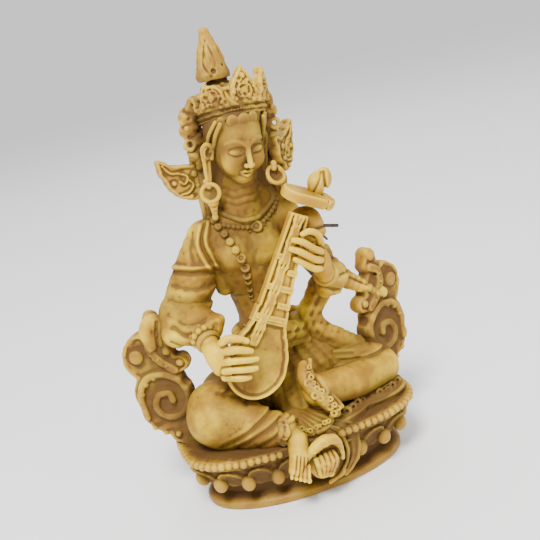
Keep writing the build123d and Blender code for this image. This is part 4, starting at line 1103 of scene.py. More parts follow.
def make_crown():
    band = Clay((-12, -13, -3), (12, 13, 7.5), 0.2, CROWN_PLACE)
    for height in (0.0, 1.2, 2.4, 3.6, 4.8, 6.0):
        band.stroke(crown_loop(height, 0.05 * height), 1.0, 0.4)
    rng = np.random.default_rng(31)
    for _ in range(110):
        x, y, _ = crown_loop(0, 0.9, 73)[rng.integers(72)]
        band.egg((x, y, rng.uniform(1.8, 6.4)), rng.uniform(0.45, 0.95), blend=0.25)
    band.stroke(crown_loop(-1.2, 0.45), 0.42, 0.1)
    band.stroke(crown_loop(1.25, 0.85), 0.36, 0.1)
    for x, y, _ in crown_loop(0, 0.85, 73)[:-1]:
        band.egg((x, y, 0.0), 0.55, blend=0.05)
    band.weather(0.12, 8, 2.8)
    skin("crown_bead_band", band, "resin_ornament", "crown_band")

    leaves = []
    for bearing in LEAF_BEARINGS:
        a = math.radians(bearing)
        outward = Vector((math.sin(a), -math.cos(a), 0))
        origin = Vector((CROWN_X * outward.x, CROWN_Y * outward.y, 0.6)) + 0.5 * outward
        local = frame_at(origin, (math.cos(a), math.sin(a), 0), outward * 0.07 + Vector((0, 0, 1)))
        tip_u, tip_v = LEAF_REACH[bearing]
        leaf = Plate((-6.0, -1), (6.0, tip_v + 2), 2.1, CROWN_PLACE @ local, 0.2)
        leaf.fill([(0, 2.2), (0, 0.46 * tip_v)], [4.9, 3.9], 0.5)
        leaf.fill(
            [(tip_u * 0.3, 0.6 * tip_v), (tip_u * 0.7, tip_v - 2.6), (tip_u, tip_v)], [3.2, 1.9, 0.7], 0.8
        )
        leaf.outline = np.maximum(leaf.outline, 0.6 - leaf.v)
        edge = -leaf.outline
        leaf.relief += 0.35 * np.exp(-(((edge - 0.45) / 0.42) ** 2)) * (leaf.v > 2.5)
        leaf.boss((0, 4.1), 1.15, 0.8)
        leaf.band(
            flow([(0.0, 2.2), (1.9, 3.0), (1.9, 5.2), (0, 6.0), (-1.9, 5.2), (-1.9, 3.0), (0.0, 2.2)]),
            0.42, 0.6
        )
        for side in SIDES:
            leaf.band(
                flow([
                    (side * 3.5, 1.6), (side * 3.3, 4.6), (side * 2.0, 7.0), (side * 0.9, 6.9),
                    (side * 1.1, 6.0)
                ]), 0.4, 0.65
            )
            leaf.boss((side * 3.0, 2.2), 0.7, 0.6)
            leaf.boss((side * 1.2 + 0.4 * tip_u, tip_v - 3.9), 0.6, 0.6)
        leaf.boss((tip_u * 0.7, tip_v - 2.3), 0.9, 0.6)
        rng = np.random.default_rng(200 + bearing)
        for _ in range(26):
            leaf.boss(
                (rng.uniform(-4.4, 4.4), rng.uniform(0.8, 0.75 * tip_v)), rng.uniform(0.45, 0.85),
                rng.uniform(0.3, 0.75)
            )
        clay = leaf.cast(0.6)
        for _ in range(5):
            clay.egg(
                (rng.uniform(-3.2, 3.2), rng.choice((-1.6, 1.4)), rng.uniform(3, tip_v - 1)),
                rng.uniform(0.35, 0.6), blend=0.2, cut=True
            )
        clay.weather(0.13, 50 + len(leaves), 2.6)
        leaves.append(clay)
    horn = Clay((-9.5, -14, -1), (-1.5, -7, 8), 0.18, CROWN_PLACE)
    horn.stroke(
        flow([(-5.1, -10.2, 5.4), (-5.0, -11.1, 3.6), (-3.9, -11.6, 1.9), (-2.8, -11.7, 1.2)]),
        spread((0.25, 0.62, 0.6, 0.3), 19)
    )
    leaves.append(horn)
    skin("crown_leaf_ring", leaves, "resin_ornament", "crown_leaves")

    knot = Clay((-9, -4, 112), (9, 12, 131), 0.3)
    knot.egg((0.2, 4.2, 117.5), (6.4, 6.2, 8.2))
    rng = np.random.default_rng(11)
    for _ in range(40):
        turn, height = rng.uniform(0, 2 * math.pi), rng.uniform(119, 126)
        reach = 6.3 * math.sqrt(max(0.05, 1 - ((height - 117.5) / 8.4) ** 2))
        knot.egg(
            (0.2 + reach * math.cos(turn), 4.2 + reach * math.sin(turn), height), rng.uniform(0.5, 1.1),
            blend=0.4
        )
    skin("topknot_lumps", knot, "resin_hair", "topknot")

    spire = Clay((-7, -3, 122), (7, 12, 143), 0.2)
    base = np.array((0.0, 4.2, 127.2))
    spire.stroke([base, base + (0.2, 0, 6.0), base + (0.2, 0, 11.7)], [5.0, 3.3, 1.55], 0.8)
    spire.egg(base + (0, 0, -1.2), (4.5, 4.4, 1.8), blend=0.8)
    spire.field = np.maximum(spire.field, (base[2] - 1.7) - spire.whole()[2])
    for turn in (-120, -30, 60, 150):
        a = math.radians(turn + 8)
        for side in SIDES:
            petal = []
            for height, spread_angle, radius in (
                (-0.5, 0.0, 4.9), (2.8, 0.42, 4.3), (6.0, 0.36, 3.4), (9.5, 0.0, 2.3)
            ):
                b = a + side * spread_angle
                petal.append(base + (radius * math.cos(b) + 0.3, radius * math.sin(b), height))
            spire.crease(flow(petal), 0.4, 0.36)
        petal = [
            base + (r * math.cos(a) + 0.3, r * math.sin(a), h)
            for h, r in ((3.6, 4.1), (6.2, 3.3), (8.6, 2.6))
        ]
        spire.crease(flow(petal), 0.5, -0.3)
    spire.egg(base + (-0.6, -4.6, 0.9), 0.75, blend=0.2, cut=True)
    spire.egg(base + (2.6, -3.6, 1.9), 0.55, blend=0.2, cut=True)
    spire.egg(base + (-2.9, -3.5, -0.2), 0.45, blend=0.2, cut=True)
    spire.weather(0.10, 16, 3.0)
    skin("spire_cone", spire, "resin_hair", "hair_spire")


def make_head_ornaments():
    columns = []
    for side in SIDES:
        middle = 1.2
        column = Clay(
            (middle + min(side * 5, side * 17), -3, 99), (middle + max(side * 5, side * 17), 9.5, 122),
            0.22
        )
        for out, y, z, radii in (
            (10.6, 2.6, 118.3, (1.5, 1.5, 2.9)), (12.4, 2.4, 116.0, (1.9, 1.6, 2.1)),
            (13.0, 2.8, 112.9, (1.9, 1.7, 1.6)), (11.6, 2.2, 113.8, (1.5, 1.6, 2.4)),
            (12.2, 3.2, 106.4, (1.7, 1.6, 2.0)), (11.2, 3.4, 103.6, (1.3, 1.5, 2.0)),
            (11.2, 2.8, 110.0, (1.6, 1.6, 2.0)),
        ):
            column.egg((middle + side * (out - 0.3), y, z), np.array(radii) * 1.25, (0, side * -12, 0), 0.3)
        for y, low_z, high_z, radius in ((4.4, 104, 117, 2.7), (3.6, 106, 116, 2.0)):
            column.stroke([(middle + side * 9.8, y, low_z), (middle + side * 11.2, y, high_z)], radius, 0.4)
        column.ring((middle + side * 13.0, 1.6, 109.2), (0.2 * side, -1, 0.2), 1.35, 0.65, 0.25)
        column.egg((middle + side * 12.9, 1.2, 114.2), 0.95, blend=0.1)
        column.egg((middle + side * 12.9, 0.9, 111.4), 0.7, cut=True, blend=0.2)
        column.egg((middle + side * 11.6, 0.6, 116.7), 0.6, cut=True, blend=0.2)
        for z in (119.2, 117.0, 112.4, 106.8, 104.4):
            column.crease([(middle + side * 10, 0, z), (middle + side * 14, 0.6, z - 0.9)], 0.35, 0.45)
        column.weather(0.22, 12, 2.8)
        columns.append(column)
    skin("rosette_columns", columns, "resin_ornament", "hair_rosettes")

    fans = []
    for side, root, along, up in (
        (-1, (-14.9, 5.6, 99.0), (1, 0.12, 0), (0, 0, 1)),
        (1, (16.2, 6.4, 100.4), (0.62, 0.78, 0.0), (0.12, 0.1, 1)),
    ):
        fan = Plate((-9, -9), (9, 10), 2.4, frame_at(root, along, up), 0.22, side)
        fan.fill([(6.9, 7.0), (5.2, 3.9), (2.0, 0.8), (-2.2, 0.0)], [0.9, 2.4, 4.2, 4.2], 0.8)
        fan.fill([(1.6, -2.2), (-1.4, -4.4)], [2.8, 1.9], 0.8)
        fan.fill([(-3.8, 2.0), (-5.0, 3.6)], [2.4, 1.6], 0.6)
        fan.relief += 0.5 * np.exp(-(((-fan.outline - 0.5) / 0.45) ** 2))
        fan.band(
            flow([(6.3, 6.0), (4.4, 3.4), (1.6, 2.6), (-0.4, 1.0), (0.8, -0.8), (2.0, 0.2)]), 0.5, 0.75
        )
        fan.band(flow([(2.6, -3.6), (0.0, -3.4), (-1.7, -1.6), (-0.8, 0.0)]), 0.5, 0.7)
        fan.boss((-2.7, 1.4), 1.0, 0.9)
        fan.boss((3.9, 0.2), 0.8, 0.7)
        fan.boss((-0.4, -5.0), 0.8, 0.8)
        fan.boss((-3.0, -2.2), 0.8, 0.8)
        clay = fan.cast(0.7)
        clay.egg((side * 1.0, -2.0, 3.0), 0.75, blend=0.2, cut=True)
        clay.egg((side * 0.4, -2.0, -2.2), 0.6, blend=0.2, cut=True)
        clay.weather(0.16, 14, 2.8)
        fans.append(clay)
    skin("side_fan_curls", fans, "resin_ornament", "side_fans")

    for name, node, side in (
        ("right_tress_locks", "right_tress", -1), ("left_tress_locks", "left_tress", 1)
    ):
        tress = Clay(
            (-16, -3, 83) if side < 0 else (4, -3, 83), (-3, 11, 110) if side < 0 else (19, 11, 110), 0.26
        )
        spine = np.array([
            (9.4, 6.2, 108), (9.8, 6.2, 104), (9.8, 5.4, 98.5), (10.0, 4.6, 94), (10.2, 4.0, 89.6),
            (10.6, 4.2, 86)
        ])
        for shift in (-2.1, -0.7, 0.7, 2.1):
            path = spine * (side, 1, 1) + (
                side * shift * 0.9 + (0.4 if side < 0 else 1.6), -0.5 * math.cos(shift), 0
            )
            tress.stroke(flow(path), spread((0.9, 1.15, 1.2, 1.1, 0.8), 31), 0.15)
        skin(name, tress, "resin_hair", node)

    hair = Clay((-15, -2, 60), (14, 19, 114), 0.32)
    hair.stroke(
        [(0.8, 6.6, 104), (-0.4, 9.0, 90), (-1.5, 10.5, 74), (-1.2, 10.5, 66)], [8.8, 8.0, 6.4, 3.0], 1.0
    )
    for side in SIDES:
        hair.stroke([(0.6 + side * 7.0, 6.0, 102), (side * 7.4, 6.4, 90)], [3.8, 4.2], 1.0)
    for step in range(13):
        x = -8.4 + 1.4 * step
        hair.crease(
            flow([
                (x * 0.9, 14, 106), (x * 0.85 - 1, 15, 90), (x * 0.7 - 1.4, 15.5, 76),
                (x * 0.35 - 1.4, 14, 64)
            ]), 0.45, 0.7, REAR, 8
        )
    skin("back_hair_strands", hair, "resin_hair", "back_hair")

    rings = []
    for side, centre, axis, radius in (
        (-1, (-9.9, -1.8, 94.8), (-0.28, -0.95, 0.1), 2.6), (1, (9.8, -3.4, 95.2), (0.30, -0.85, 0.45), 2.7)
    ):
        centre = np.array(centre)
        cup = Clay(centre - (5, 5, 12), centre + (5, 5, 6), 0.18)
        axis = np.array(axis) / np.linalg.norm(axis)
        cup.egg(centre - 0.7 * axis, radius * 0.93, blend=0.1)
        cup.egg(centre + 1.9 * axis, radius * 0.98, cut=True, blend=0.2)
        cup.ring(centre + 0.3 * axis, axis, radius, 0.6, 0.15)
        cup.stroke([centre + (0.4 * side, 0.8, 3.4), centre + (0, 0.3, 2.0)], [0.9, 0.9], 0.3)
        if side < 0:
            cup.egg(centre + (0.1, -0.1, -3.1), (1.7, 1.1, 0.9), blend=0.2)
            cup.stroke([centre + (0.0, 0, -3.6), centre + (-0.2, 0.1, -6.4)], [1.3, 0.75], 0.3)
            cup.egg(centre + (-0.3, 0.1, -7.2), (0.95, 0.85, 1.1), blend=0.15)
            cup.crease([centre + (-1.5, -1, -4.2), centre + (1.5, -1, -4.2)], 0.3, 0.4)
            cup.crease([centre + (-1.5, -1, -5.6), centre + (1.5, -1, -5.6)], 0.3, 0.35)
        else:
            cup.stroke(
                flow([centre + (1.9, 0.6, 1.2), centre + (2.9, 0.6, -1.2), centre + (2.6, 0.8, -3.6)]),
                0.6, 0.2
            )
        rings.append(cup)
    skin("cup_earrings", rings, "resin_ornament", "earrings")


# ---------------------------------------------------------------- jewellery
def make_jewellery(body):
    collar = Clay((-14, -9, 76), (14, 12, 96), 0.2)
    round_neck = [
        (-8.6, 2, 90.6), (-7.8, -1, 88.1), (-3.5, -3, 85.2), (-0.6, -3, 84.5), (2.1, -3, 84.7),
        (6.2, -1, 86.4), (8.5, 0, 88.4), (8.8, 3, 91)
    ]
    collar.stroke(settle(body, flow(round_neck), 0.2), 0.78)
    skin("collar_ring", collar, "resin_ornament", "collar")

    necklace = Clay((-16, -10, 74), (14, 10, 94), 0.18)
    chest_line = [
        (-12.6, 0, 88.6), (-9.6, -2, 85.6), (-6.2, -3, 83.9), (-1.6, -3, 82.3), (1.0, -3, 82.2),
        (3.6, -3, 83.1), (6.4, -2, 84.6), (8.5, -1, 86.4), (9.6, 0, 88.4)
    ]
    path = settle(body, flow(chest_line, 8), 0.1)
    lengths = np.r_[0, np.cumsum(np.linalg.norm(np.diff(path, axis=0), axis=1))]
    for where in np.arange(0.5, lengths[-1], 1.42):
        bead = np.array([np.interp(where, lengths, path[:, axis]) for axis in range(3)])
        necklace.egg(bead, 0.82)
    pendant = settle(body, [(1.0, -3, 81.9)], 0.5)[0]
    necklace.ring(pendant, FRONT, 1.25, 0.55)
    necklace.egg(pendant - 0.3 * FRONT, 0.7)
    for spot in ((3.2, -3, 81.8), (-1.4, -3, 81.0), (5.0, -3, 83.0)):
        necklace.egg(settle(body, [spot], 0.1)[0], 0.55)
    skin("bead_necklace", necklace, "resin_ornament", "necklace")

    string = Clay((-15, -11, 54), (0, 8, 90), 0.18)
    for place, radius, ringed in (
        ((-11.3, -2, 86.8), 1.0, 0), ((-10.4, -3, 85.1), 1.3, 0), ((-9.2, -3.5, 82.5), 1.35, 0),
        ((-8.3, -4.5, 80.0), 1.35, 0), ((-7.3, -5, 77.2), 1.35, 0), ((-6.2, -5, 74.4), 1.25, 1),
        ((-5.7, -5, 71.3), 1.25, 1), ((-5.5, -4, 68.5), 1.1, 1), ((-5.3, -3, 66.3), 0.9, 1),
        ((-4.9, -1, 63.2), 0.75, 1), ((-4.8, 0, 61.0), 0.6, 1), ((-4.6, 0, 59.4), 0.5, 0),
    ):
        centre = settle(body, [place], 0.35)[0]
        if ringed:
            string.ring(centre, FRONT, radius * 0.85, radius * 0.36)
            string.egg(centre - 0.7 * FRONT, radius * 0.8)
        else:
            string.egg(centre, radius)
            string.egg(centre + (radius * 1.1) * FRONT, radius * 0.35, cut=True, blend=0.3)
    skin("long_bead_string", string, "resin_ornament", "long_beads")


# ---------------------------------------------------------------- scrolls and scarves
SCROLL_TURN = math.radians(24)


def make_scrolls():
    for side, name, node in (
        (-1, "right_cloud_scroll", "right_scroll"), (1, "left_cloud_scroll", "left_scroll")
    ):
        centre = at(node)
        along = (math.cos(SCROLL_TURN), side * math.sin(SCROLL_TURN), 0)
        place = frame_at((centre[0], centre[1], TABLE_TOP), along, (0, 0, 1))
        plate = Plate((-13, -1), (13, 46), 4.4, place, 0.26, side)
        plate.fill([(0.6, 12.6), (0.2, 17.0)], [8.0, 9.2], 1.5)
        plate.fill([(-1.5, 10.6)], [7.6], 1.5)
        plate.fill([(1.8, 29.4)], [8.3], 1.0)
        plate.fill([(-4.8, 26.2), (-7.5, 26.4)], [3.6, 2.8], 1.0)
        plate.fill([(-1.6, 38.0), (-1.2, 41.2)], [3.2, 2.3], 1.0)
        plate.fill([(-3.2, 4.0), (-6.6, 0.4)], [4.6, 3.0], 1.0)
        plate.bite([(10.8, 22.8)], [2.6])
        plate.bite([(-9.4, 21.4)], [2.4])
        plate.relief += 0.4 * np.exp(-(((-plate.outline - 0.7) / 0.6) ** 2))
        big = flow([
            (6.9, 10.5), (7.2, 17.5), (4.4, 22.8), (-1.2, 24.0), (-6.2, 21.0), (-7.6, 15.0), (-4.6, 10.6),
            (0.2, 10.0), (3.0, 13.2), (1.6, 17.2), (-1.8, 17.6), (-2.6, 15.2)
        ])
        plate.band(big, 1.45, 1.15, 0.7)
        plate.groove(big, 0.4, -0.25)
        for at_u, at_v in (
            (4.6, 21.6), (1.8, 23.2), (-1.4, 23.8), (6.5, 18.4), (7.2, 14.6), (2.5, 4.0), (-1.6, 3.6),
            (5.6, 6.4)
        ):
            plate.boss((at_u, at_v), 1.1, 1.35)
            plate.boss((at_u, at_v), 0.5, 1.7)
        cross = flow([(-5.4, 24.8), (-2.4, 27.6), (0.4, 31.6), (0.2, 35.4), (-2.6, 37.4)])
        plate.band(cross, 1.7, 1.1, 0.7)
        for at_u, at_v in ((-3.4, 26.6), (-1.3, 29.0), (0.3, 31.8), (0.3, 34.4)):
            plate.boss((at_u, at_v), 0.75, 1.6)
        plate.band(flow([(9.0, 31.8), (7.0, 36.0), (3.4, 37.2), (0.8, 35.4)]), 1.0, 0.9, 0.6)
        plate.boss((5.4, 30.6), 2.4, 1.5)
        plate.boss((-4.4, 31.2), 1.5, 1.3)
        plate.boss((-7.6, 26.8), 1.3, 1.2)
        plate.boss((-1.4, 41.0), 1.8, 0.9)
        clay = plate.cast(1.5)
        rng = np.random.default_rng(20 + side)
        for _ in range(9):
            clay.egg(
                (rng.uniform(-7, 7), rng.choice((-2.6, 2.6)), rng.uniform(24, 38)), rng.uniform(0.4, 0.75),
                blend=0.3, cut=True
            )
        clay.weather(0.15, 18 + side, 3.4)
        skin(name, clay, "resin_ornament", node)

    scarf = Clay((-42, -7, 32), (-19, 11, 66), 0.28)
    leaf = flow([
        (-30.5, 3.6, 55), (-33.4, 3.6, 59.0), (-35.8, 4.0, 60.6), (-37.8, 4.4, 57.6), (-37.6, 4.4, 53.0)
    ])
    scarf.stroke(leaf, spread((2.6, 2.9, 2.6, 2.3, 1.5), 25), 0.5)
    scarf.egg((-35.0, 4.0, 56.4), (3.4, 2.2, 4.6), (0, 14, 0), 0.6)
    for shift in (0.0, 2.4):
        line = flow([(-34.6 + shift, 0, 61.4 - shift), (-35.8 + shift, 0, 57.4), (-36.4 + shift, 0, 53.0)])
        scarf.crease(line, 0.5, 0.9, FRONT, 6)
    skin("right_scarf_fold", scarf, "resin_drapery", "right_scarf")

    scarf = Clay((5, -8, 28), (43, 12, 68), 0.28)
    ribbon = flow([(20.5, -1.5, 60.0), (25.0, 0.2, 57.6), (29.4, 2.2, 54.0), (33.6, 4.0, 50.6)])
    scarf.stroke(ribbon, spread((3.4, 3.0, 2.4, 1.8), 19), 0.5)
    scarf.crease(ribbon + (0, -3.0, 1.4), 0.5, 0.5, FRONT, 4)
    rng = np.random.default_rng(5)
    for number in range(9):
        t = number / 8
        lump = (33.4 + 5.4 * t, 3.8 + 1.0 * t, 51.0 - 3.6 * t + rng.uniform(-0.7, 0.7))
        scarf.egg(lump, rng.uniform(1.1, 1.7), blend=0.3)
    drape = flow([
        (18.0, 0.8, 57.6), (15.0, 1.2, 53.4), (12.6, 1.6, 49.5), (13.6, 1.6, 43.8), (18.6, 1.6, 38.8),
        (25.5, 2.2, 34.2)
    ])
    scarf.stroke(drape, spread((4.0, 3.7, 3.7, 4.0, 4.0, 3.2), 31), 0.6)
    scarf.crease(drape + (-0.6, -3.0, -0.6), 0.9, 0.35, FRONT, 5)
    scarf.weather(0.14, 22)
    skin("left_scarf_ribbon", scarf, "resin_drapery", "left_scarf")


# ---------------------------------------------------------------- foot, lotus, hems
def curls_along(clay, path, radius, gap, rise=0.5):
    """Row of uneven little raised curls with dented middles."""
    rng = np.random.default_rng(len(path))
    path = np.array(path)
    lengths = np.r_[0, np.cumsum(np.linalg.norm(np.diff(path, axis=0), axis=1))]
    for number, where in enumerate(np.arange(gap / 2, lengths[-1], gap)):
        spot = np.array([np.interp(where, lengths, path[:, axis]) for axis in range(3)])
        spot = spot + rise * FRONT + rng.uniform(-0.35, 0.35, 3)
        size = radius * rng.uniform(0.75, 1.2)
        clay.ring(spot, FRONT + (0.3 * (-1) ** number, 0, 0.2), size * 0.62, size * 0.38, 0.3)


def make_lower():
    foot = Clay((-20, -34, 7), (2, -14, 30), 0.2)
    instep = np.array([(-6.6, -19.4, 23.6), (-6.0, -22.6, 21.4), (-7.0, -25.4, 18.0), (-9.4, -26.8, 15.0)])
    foot.stroke(instep, [2.4, 3.1, 3.1, 2.1], 1.0)
    for number in range(5):
        start = np.array((-9.4 + 0.95 * number, -26.0 - 0.25 * number, 16.4 - 0.45 * number))
        knuckle = start + (-1.0 + 0.1 * number, -1.1, -1.6)
        tip = start + (-1.8 + 0.2 * number, -1.6, -3.0 - 0.1 * number)
        foot.stroke([start, knuckle, tip], [1.0, 0.85, 0.5 + 0.06 * number], 0.12)
        foot.crease(
            flow([start + (1.2, -1.4, 3.0), knuckle + (0.55, -1.2, 0.4), tip + (0.55, -1.0, 0.8)]), 0.26,
            0.4, FRONT, 4
        )
    skin("right_foot_toes", foot, "resin_skin", "right_foot")

    lotus = Clay((-8, -33, 3), (10, -15, 25), 0.2)
    centre = np.array((0.0, -24.2, 14.2))
    lotus.egg(centre + (0.2, 0.4, -0.6), (4.9, 3.4, 5.8), (0, 20, 0))
    for step in range(5):
        t = step / 4
        petal = flow([
            (-3.0 + 5.8 * t, -1.8, 4.0 - 1.4 * t),
            (-2.6 + 5.4 * t, -3.2 - 0.6 * math.sin(math.pi * t), 0.4),
            (-2.4 + 3.2 * t, -2.6, -3.8 - 0.6 * t)
        ])
        lotus.stroke(petal + centre, spread((0.6, 1.05, 0.55), len(petal)), 0.05)
    lip = flow([
        (-5.2, -2.0, 2.8), (-3.0, -3.2, 5.6), (0.4, -3.4, 7.0), (3.6, -2.4, 6.0), (5.4, -1.2, 2.6),
        (5.6, -1.0, -1.4)
    ])
    lotus.stroke(lip + centre, spread((0.8, 1.5, 1.8, 1.6, 1.0, 0.6), len(lip)), 0.6)
    lotus.crease(
        flow([(-3.6, -5, 3.4), (-0.4, -6, 4.6), (2.6, -5, 3.8), (4.2, -4, 0.6)]) + centre, 0.4, 0.6, FRONT,
        4
    )
    lotus.weather(0.07, 24, 2.4)
    skin("foot_lotus_petals", lotus, "resin_skin", "foot_lotus")

    ribbon = Clay((-5, -27, 2), (16, -12, 26), 0.22)
    for path, radii in (
        (
            [
                (3.5, -20.5, 22.5), (6.6, -21.8, 20.4), (8.4, -22.4, 15.8), (8.0, -22.6, 10.8),
                (5.0, -22.4, 6.6), (1.2, -21.8, 4.6)
            ], (0.7, 0.8, 0.85, 0.85, 0.8, 0.6)
        ),
        (
            [
                (7.6, -19.8, 22.2), (11.2, -20.2, 20.4), (12.6, -20.6, 16.4), (12.0, -20.8, 11.0),
                (9.2, -21.0, 7.0), (6.6, -20.8, 5.0)
            ], (0.7, 0.75, 0.8, 0.8, 0.75, 0.6)
        ),
    ):
        ribbon.stroke(flow(path), spread(radii, 31), 0.2)
    for sheet in (
        [(3.4, -19.6, 20.8), (6.0, -20.4, 16.4), (5.6, -20.6, 11.2), (3.0, -20.2, 7.0)],
        [(8.0, -19.2, 20.6), (10.2, -19.6, 16.2), (9.8, -19.8, 11.2), (7.0, -20.0, 7.4)],
    ):
        ribbon.stroke(flow(sheet), 2.0, 0.3)
    ribbon.crease(
        flow([(6.0, -22, 21.0), (8.6, -22, 17.8), (9.4, -22, 12.6), (7.0, -22, 7.6)]), 0.5, 0.6, FRONT, 5
    )
    ribbon.weather(0.12, 26)
    skin("lotus_ribbon_arches", ribbon, "resin_ornament", "lotus_ribbon")

    pleats = Clay((-12, -25, 18), (14, -3, 35), 0.24)
    pleats.egg((0.5, -13.4, 21.5), (9.6, 8.4, 5.0))
    pleats.egg((-4.0, -13.5, 23.5), (5.6, 4.6, 5.4), blend=1.5)
    pleats.keep_above(TABLE_TOP - 0.4)
    heart = np.array((-7.5, -12, 29))
    for step in range(9):
        t = step / 8
        end = np.array((-5.5 + 15.5 * t, -21.5 + 9.5 * t * t, 20.2 + 2.2 * t))
        pleats.crease(flow([heart, heart * 0.45 + end * 0.55 + (0, -1.5, 1.2), end]), 0.5, 0.8, FRONT, 6)
    rim = settle(
        pleats,
        flow([
            (-6.5, -19, 24.3), (-4.6, -20, 22.6), (-2.5, -20, 21.3), (2.0, -19.5, 20.9), (5.6, -18, 21.4),
            (8.6, -16, 23.0)
        ]), 0.0
    )
    pleats.stroke(rim, 0.75, 0.3)
    curls_along(pleats, rim + (0.2, 0, 1.5), 0.85, 1.7, 0.2)
    skin("pleated_fan", pleats, "resin_drapery", "skirt_pleats")

    hem = Clay((-3, -26, 21), (14, -8, 42), 0.22)
    shin = (ANKLE_LEFT - KNEE_LEFT) / np.linalg.norm(ANKLE_LEFT - KNEE_LEFT)
    band = flow([
        (3.6, -11.4, 38.3), (2.4, -14.2, 36.4), (3.2, -16.8, 33.2), (4.8, -18.6, 30.4), (6.6, -19.6, 27.6),
        (8.0, -19.8, 24.6)
    ])
    hem.stroke(band, spread((1.9, 2.2, 2.3, 2.3, 2.2, 1.4), len(band)), 0.3)
    edge = band + (2.2, 0.2, 1.3)
    hem.stroke(edge, 0.7, 0.3)
    curls_along(hem, band + (-0.6, -1.7, -0.1), 1.15, 2.0, 0.3)
    curls_along(hem, band + (0.9, -1.8, 0.9), 0.9, 1.8, 0.3)
    hem.ring(ANKLE_LEFT + 1.0 * shin, shin, 4.6, 1.1, 0.4)
    skin("left_hem_curls", hem, "resin_ornament", "left_hem")

    hem = Clay((-16, -27, 17), (0, -11, 34), 0.22)
    shin = (ANKLE_RIGHT - KNEE_RIGHT) / np.linalg.norm(ANKLE_RIGHT - KNEE_RIGHT)
    across = np.cross(shin, (0, 0, 1.0))
    across /= np.linalg.norm(across)
    upward = np.cross(across, shin)
    for reach, radius, thick in ((0.6, 3.9, 1.1), (2.2, 3.7, 0.9)):
        turn = np.linspace(0, 2 * math.pi, 61)
        wave = 0.5 * np.sin(5 * turn)
        out = radius + 0.3 * wave
        loop = ANKLE_RIGHT + np.outer(reach + wave, shin)
        loop += np.outer(out * np.cos(turn), across) + np.outer(out * np.sin(turn), upward)
        hem.stroke(loop, thick, 0.3)
        curls_along(hem, loop, 0.8, 1.9, 0.6)
    skin("right_hem_curls", hem, "resin_ornament", "right_hem")

    border = Clay((4, -21, 18.5), (38, -3, 27), 0.24)
    for path, radii in (
        ([(8.2, -18.6, 20.4), (12, -17.6, 20.4), (16.4, -15.4, 20.4)], (2.0, 2.6, 2.4)),
        ([(15, -14.2, 20.6), (20, -12.8, 20.6), (24, -12.2, 20.4)], (2.8, 2.6, 2.0)),
        ([(23.4, -12.6, 20.4), (28, -11.8, 20.6), (32.6, -8.6, 20.8)], (2.1, 2.6, 2.4)),
        ([(12, -12.5, 20.4), (22, -9.8, 20.8), (30, -7.6, 21.2)], (3.2, 3.0, 3.0)),
    ):
        border.stroke(flow(path), spread(radii, 13), 0.5)
    border.keep_above(TABLE_TOP - 0.3)
    border.field = np.maximum(border.field, border.whole()[2] - 22.6).astype(np.float32)
    rim = flow([
        (8.6, -20.2, 21.2), (11.6, -19.8, 21.6), (15.8, -18.0, 21.6), (19.4, -15.4, 21.6),
        (21.4, -14.6, 21.2), (24.4, -14.4, 21.2), (29.0, -13.9, 21.6), (33.0, -11.4, 21.8),
        (34.8, -8.2, 22.0)
    ])
    border.stroke(rim, 0.62, 0.25)
    inner = rim + (-0.9, 2.0, 1.1)
    curls_along(border, inner, 1.35, 2.9, 0.1)
    border.stroke(inner + (-0.5, 1.3, 0.5), 0.32, 0.2)
    skin("left_leg_border", border, "resin_ornament", "skirt_border")


def make_pins():
    pins = Clay((14, -10, 72), (27, -5, 81), 0.14)
    start = np.array((16.0, -8.2, 78.7))
    pins.stroke([start, start + 8.2 * np.array((0.96, 0.05, -0.27))], 0.52)
    start = np.array((16.4, -8.4, 75.2))
    pins.stroke([start, start + (2.6, -0.2, -0.6), start + (3.2, -0.3, -1.6)], 0.36)
    skin("tuning_pin_wire", pins, "pin_metal", "tuning_pins")


# ---------------------------------------------------------------- run
make_plinth()
torso = make_torso()
make_hips()
make_legs()
make_arms()
make_hands()
make_lute()
make_head()
make_crown()
make_head_ornaments()
make_jewellery(torso)
make_scrolls()
make_lower()
make_pins()
shelter_all()


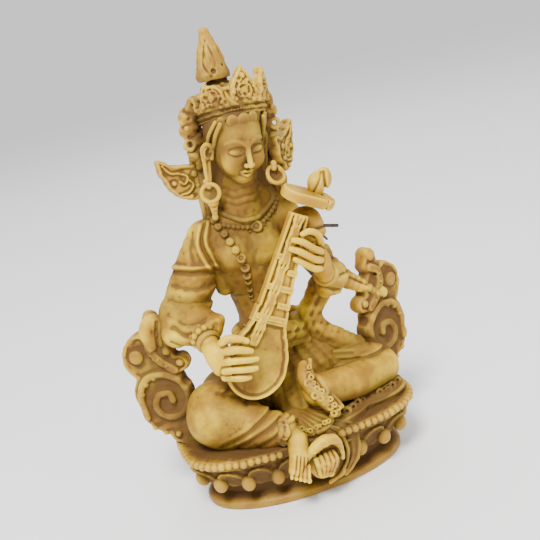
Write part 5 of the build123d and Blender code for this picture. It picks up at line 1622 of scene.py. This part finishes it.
# ---------------------------------------------------------------- stage
def make_stage():
    bpy.ops.mesh.primitive_plane_add(size=3.0, location=(0, 0, 0))
    floor = bpy.context.object
    floor.name = "floor"
    floor.data.materials.append(paper("floor_paper"))

    world = bpy.data.worlds.new("studio")
    bpy.context.scene.world = world
    world.use_nodes = True
    world.node_tree.nodes["Background"].inputs[0].default_value = (1, 1, 1, 1)
    world.node_tree.nodes["Background"].inputs[1].default_value = 0.95

    for name, place, size, watts in (
        ("key", (-0.20, -0.45, 0.70), 0.22, 11.5),
        ("fill", (0.50, -0.45, 0.35), 0.5, 1.0),
        ("back", (0.1, 0.6, 0.7), 0.5, 2.0),
    ):
        lamp = bpy.data.lights.new(name, "AREA")
        lamp.size, lamp.energy = size, watts
        holder = bpy.data.objects.new(name, lamp)
        holder.location = place
        holder.rotation_euler = (Vector((0, 0, 0.07)) - Vector(place)).to_track_quat("-Z", "Y").to_euler()
        bpy.context.scene.collection.objects.link(holder)


VIEW_AZIMUTH, VIEW_ELEVATION, VIEW_ROLL = -13.5, 16.0, 12.8
VIEW_TARGET, VIEW_DISTANCE, VIEW_LENS = (2.7, 0.0, 66.9), 280.0, 61.7


def make_camera():
    azimuth, elevation, roll = (math.radians(v) for v in (VIEW_AZIMUTH, VIEW_ELEVATION, VIEW_ROLL))
    back = Vector(
        (
            math.sin(azimuth) * math.cos(elevation), -math.cos(azimuth) * math.cos(elevation),
            math.sin(elevation)
        )
    )
    right = Vector((0, 0, 1)).cross(back).normalized()
    up = back.cross(right)
    across = math.cos(roll) * right - math.sin(roll) * up
    upward = math.sin(roll) * right + math.cos(roll) * up
    matrix = Matrix((across, upward, back)).transposed().to_4x4()
    matrix.translation = (Vector(VIEW_TARGET) + back * VIEW_DISTANCE) * MM
    camera = bpy.data.objects.new("camera", bpy.data.cameras.new("camera"))
    camera.data.lens = VIEW_LENS
    camera.data.sensor_width = 36.0
    camera.data.clip_start = 0.01
    camera.matrix_world = matrix
    bpy.context.scene.collection.objects.link(camera)
    bpy.context.scene.camera = camera


make_stage()
make_camera()
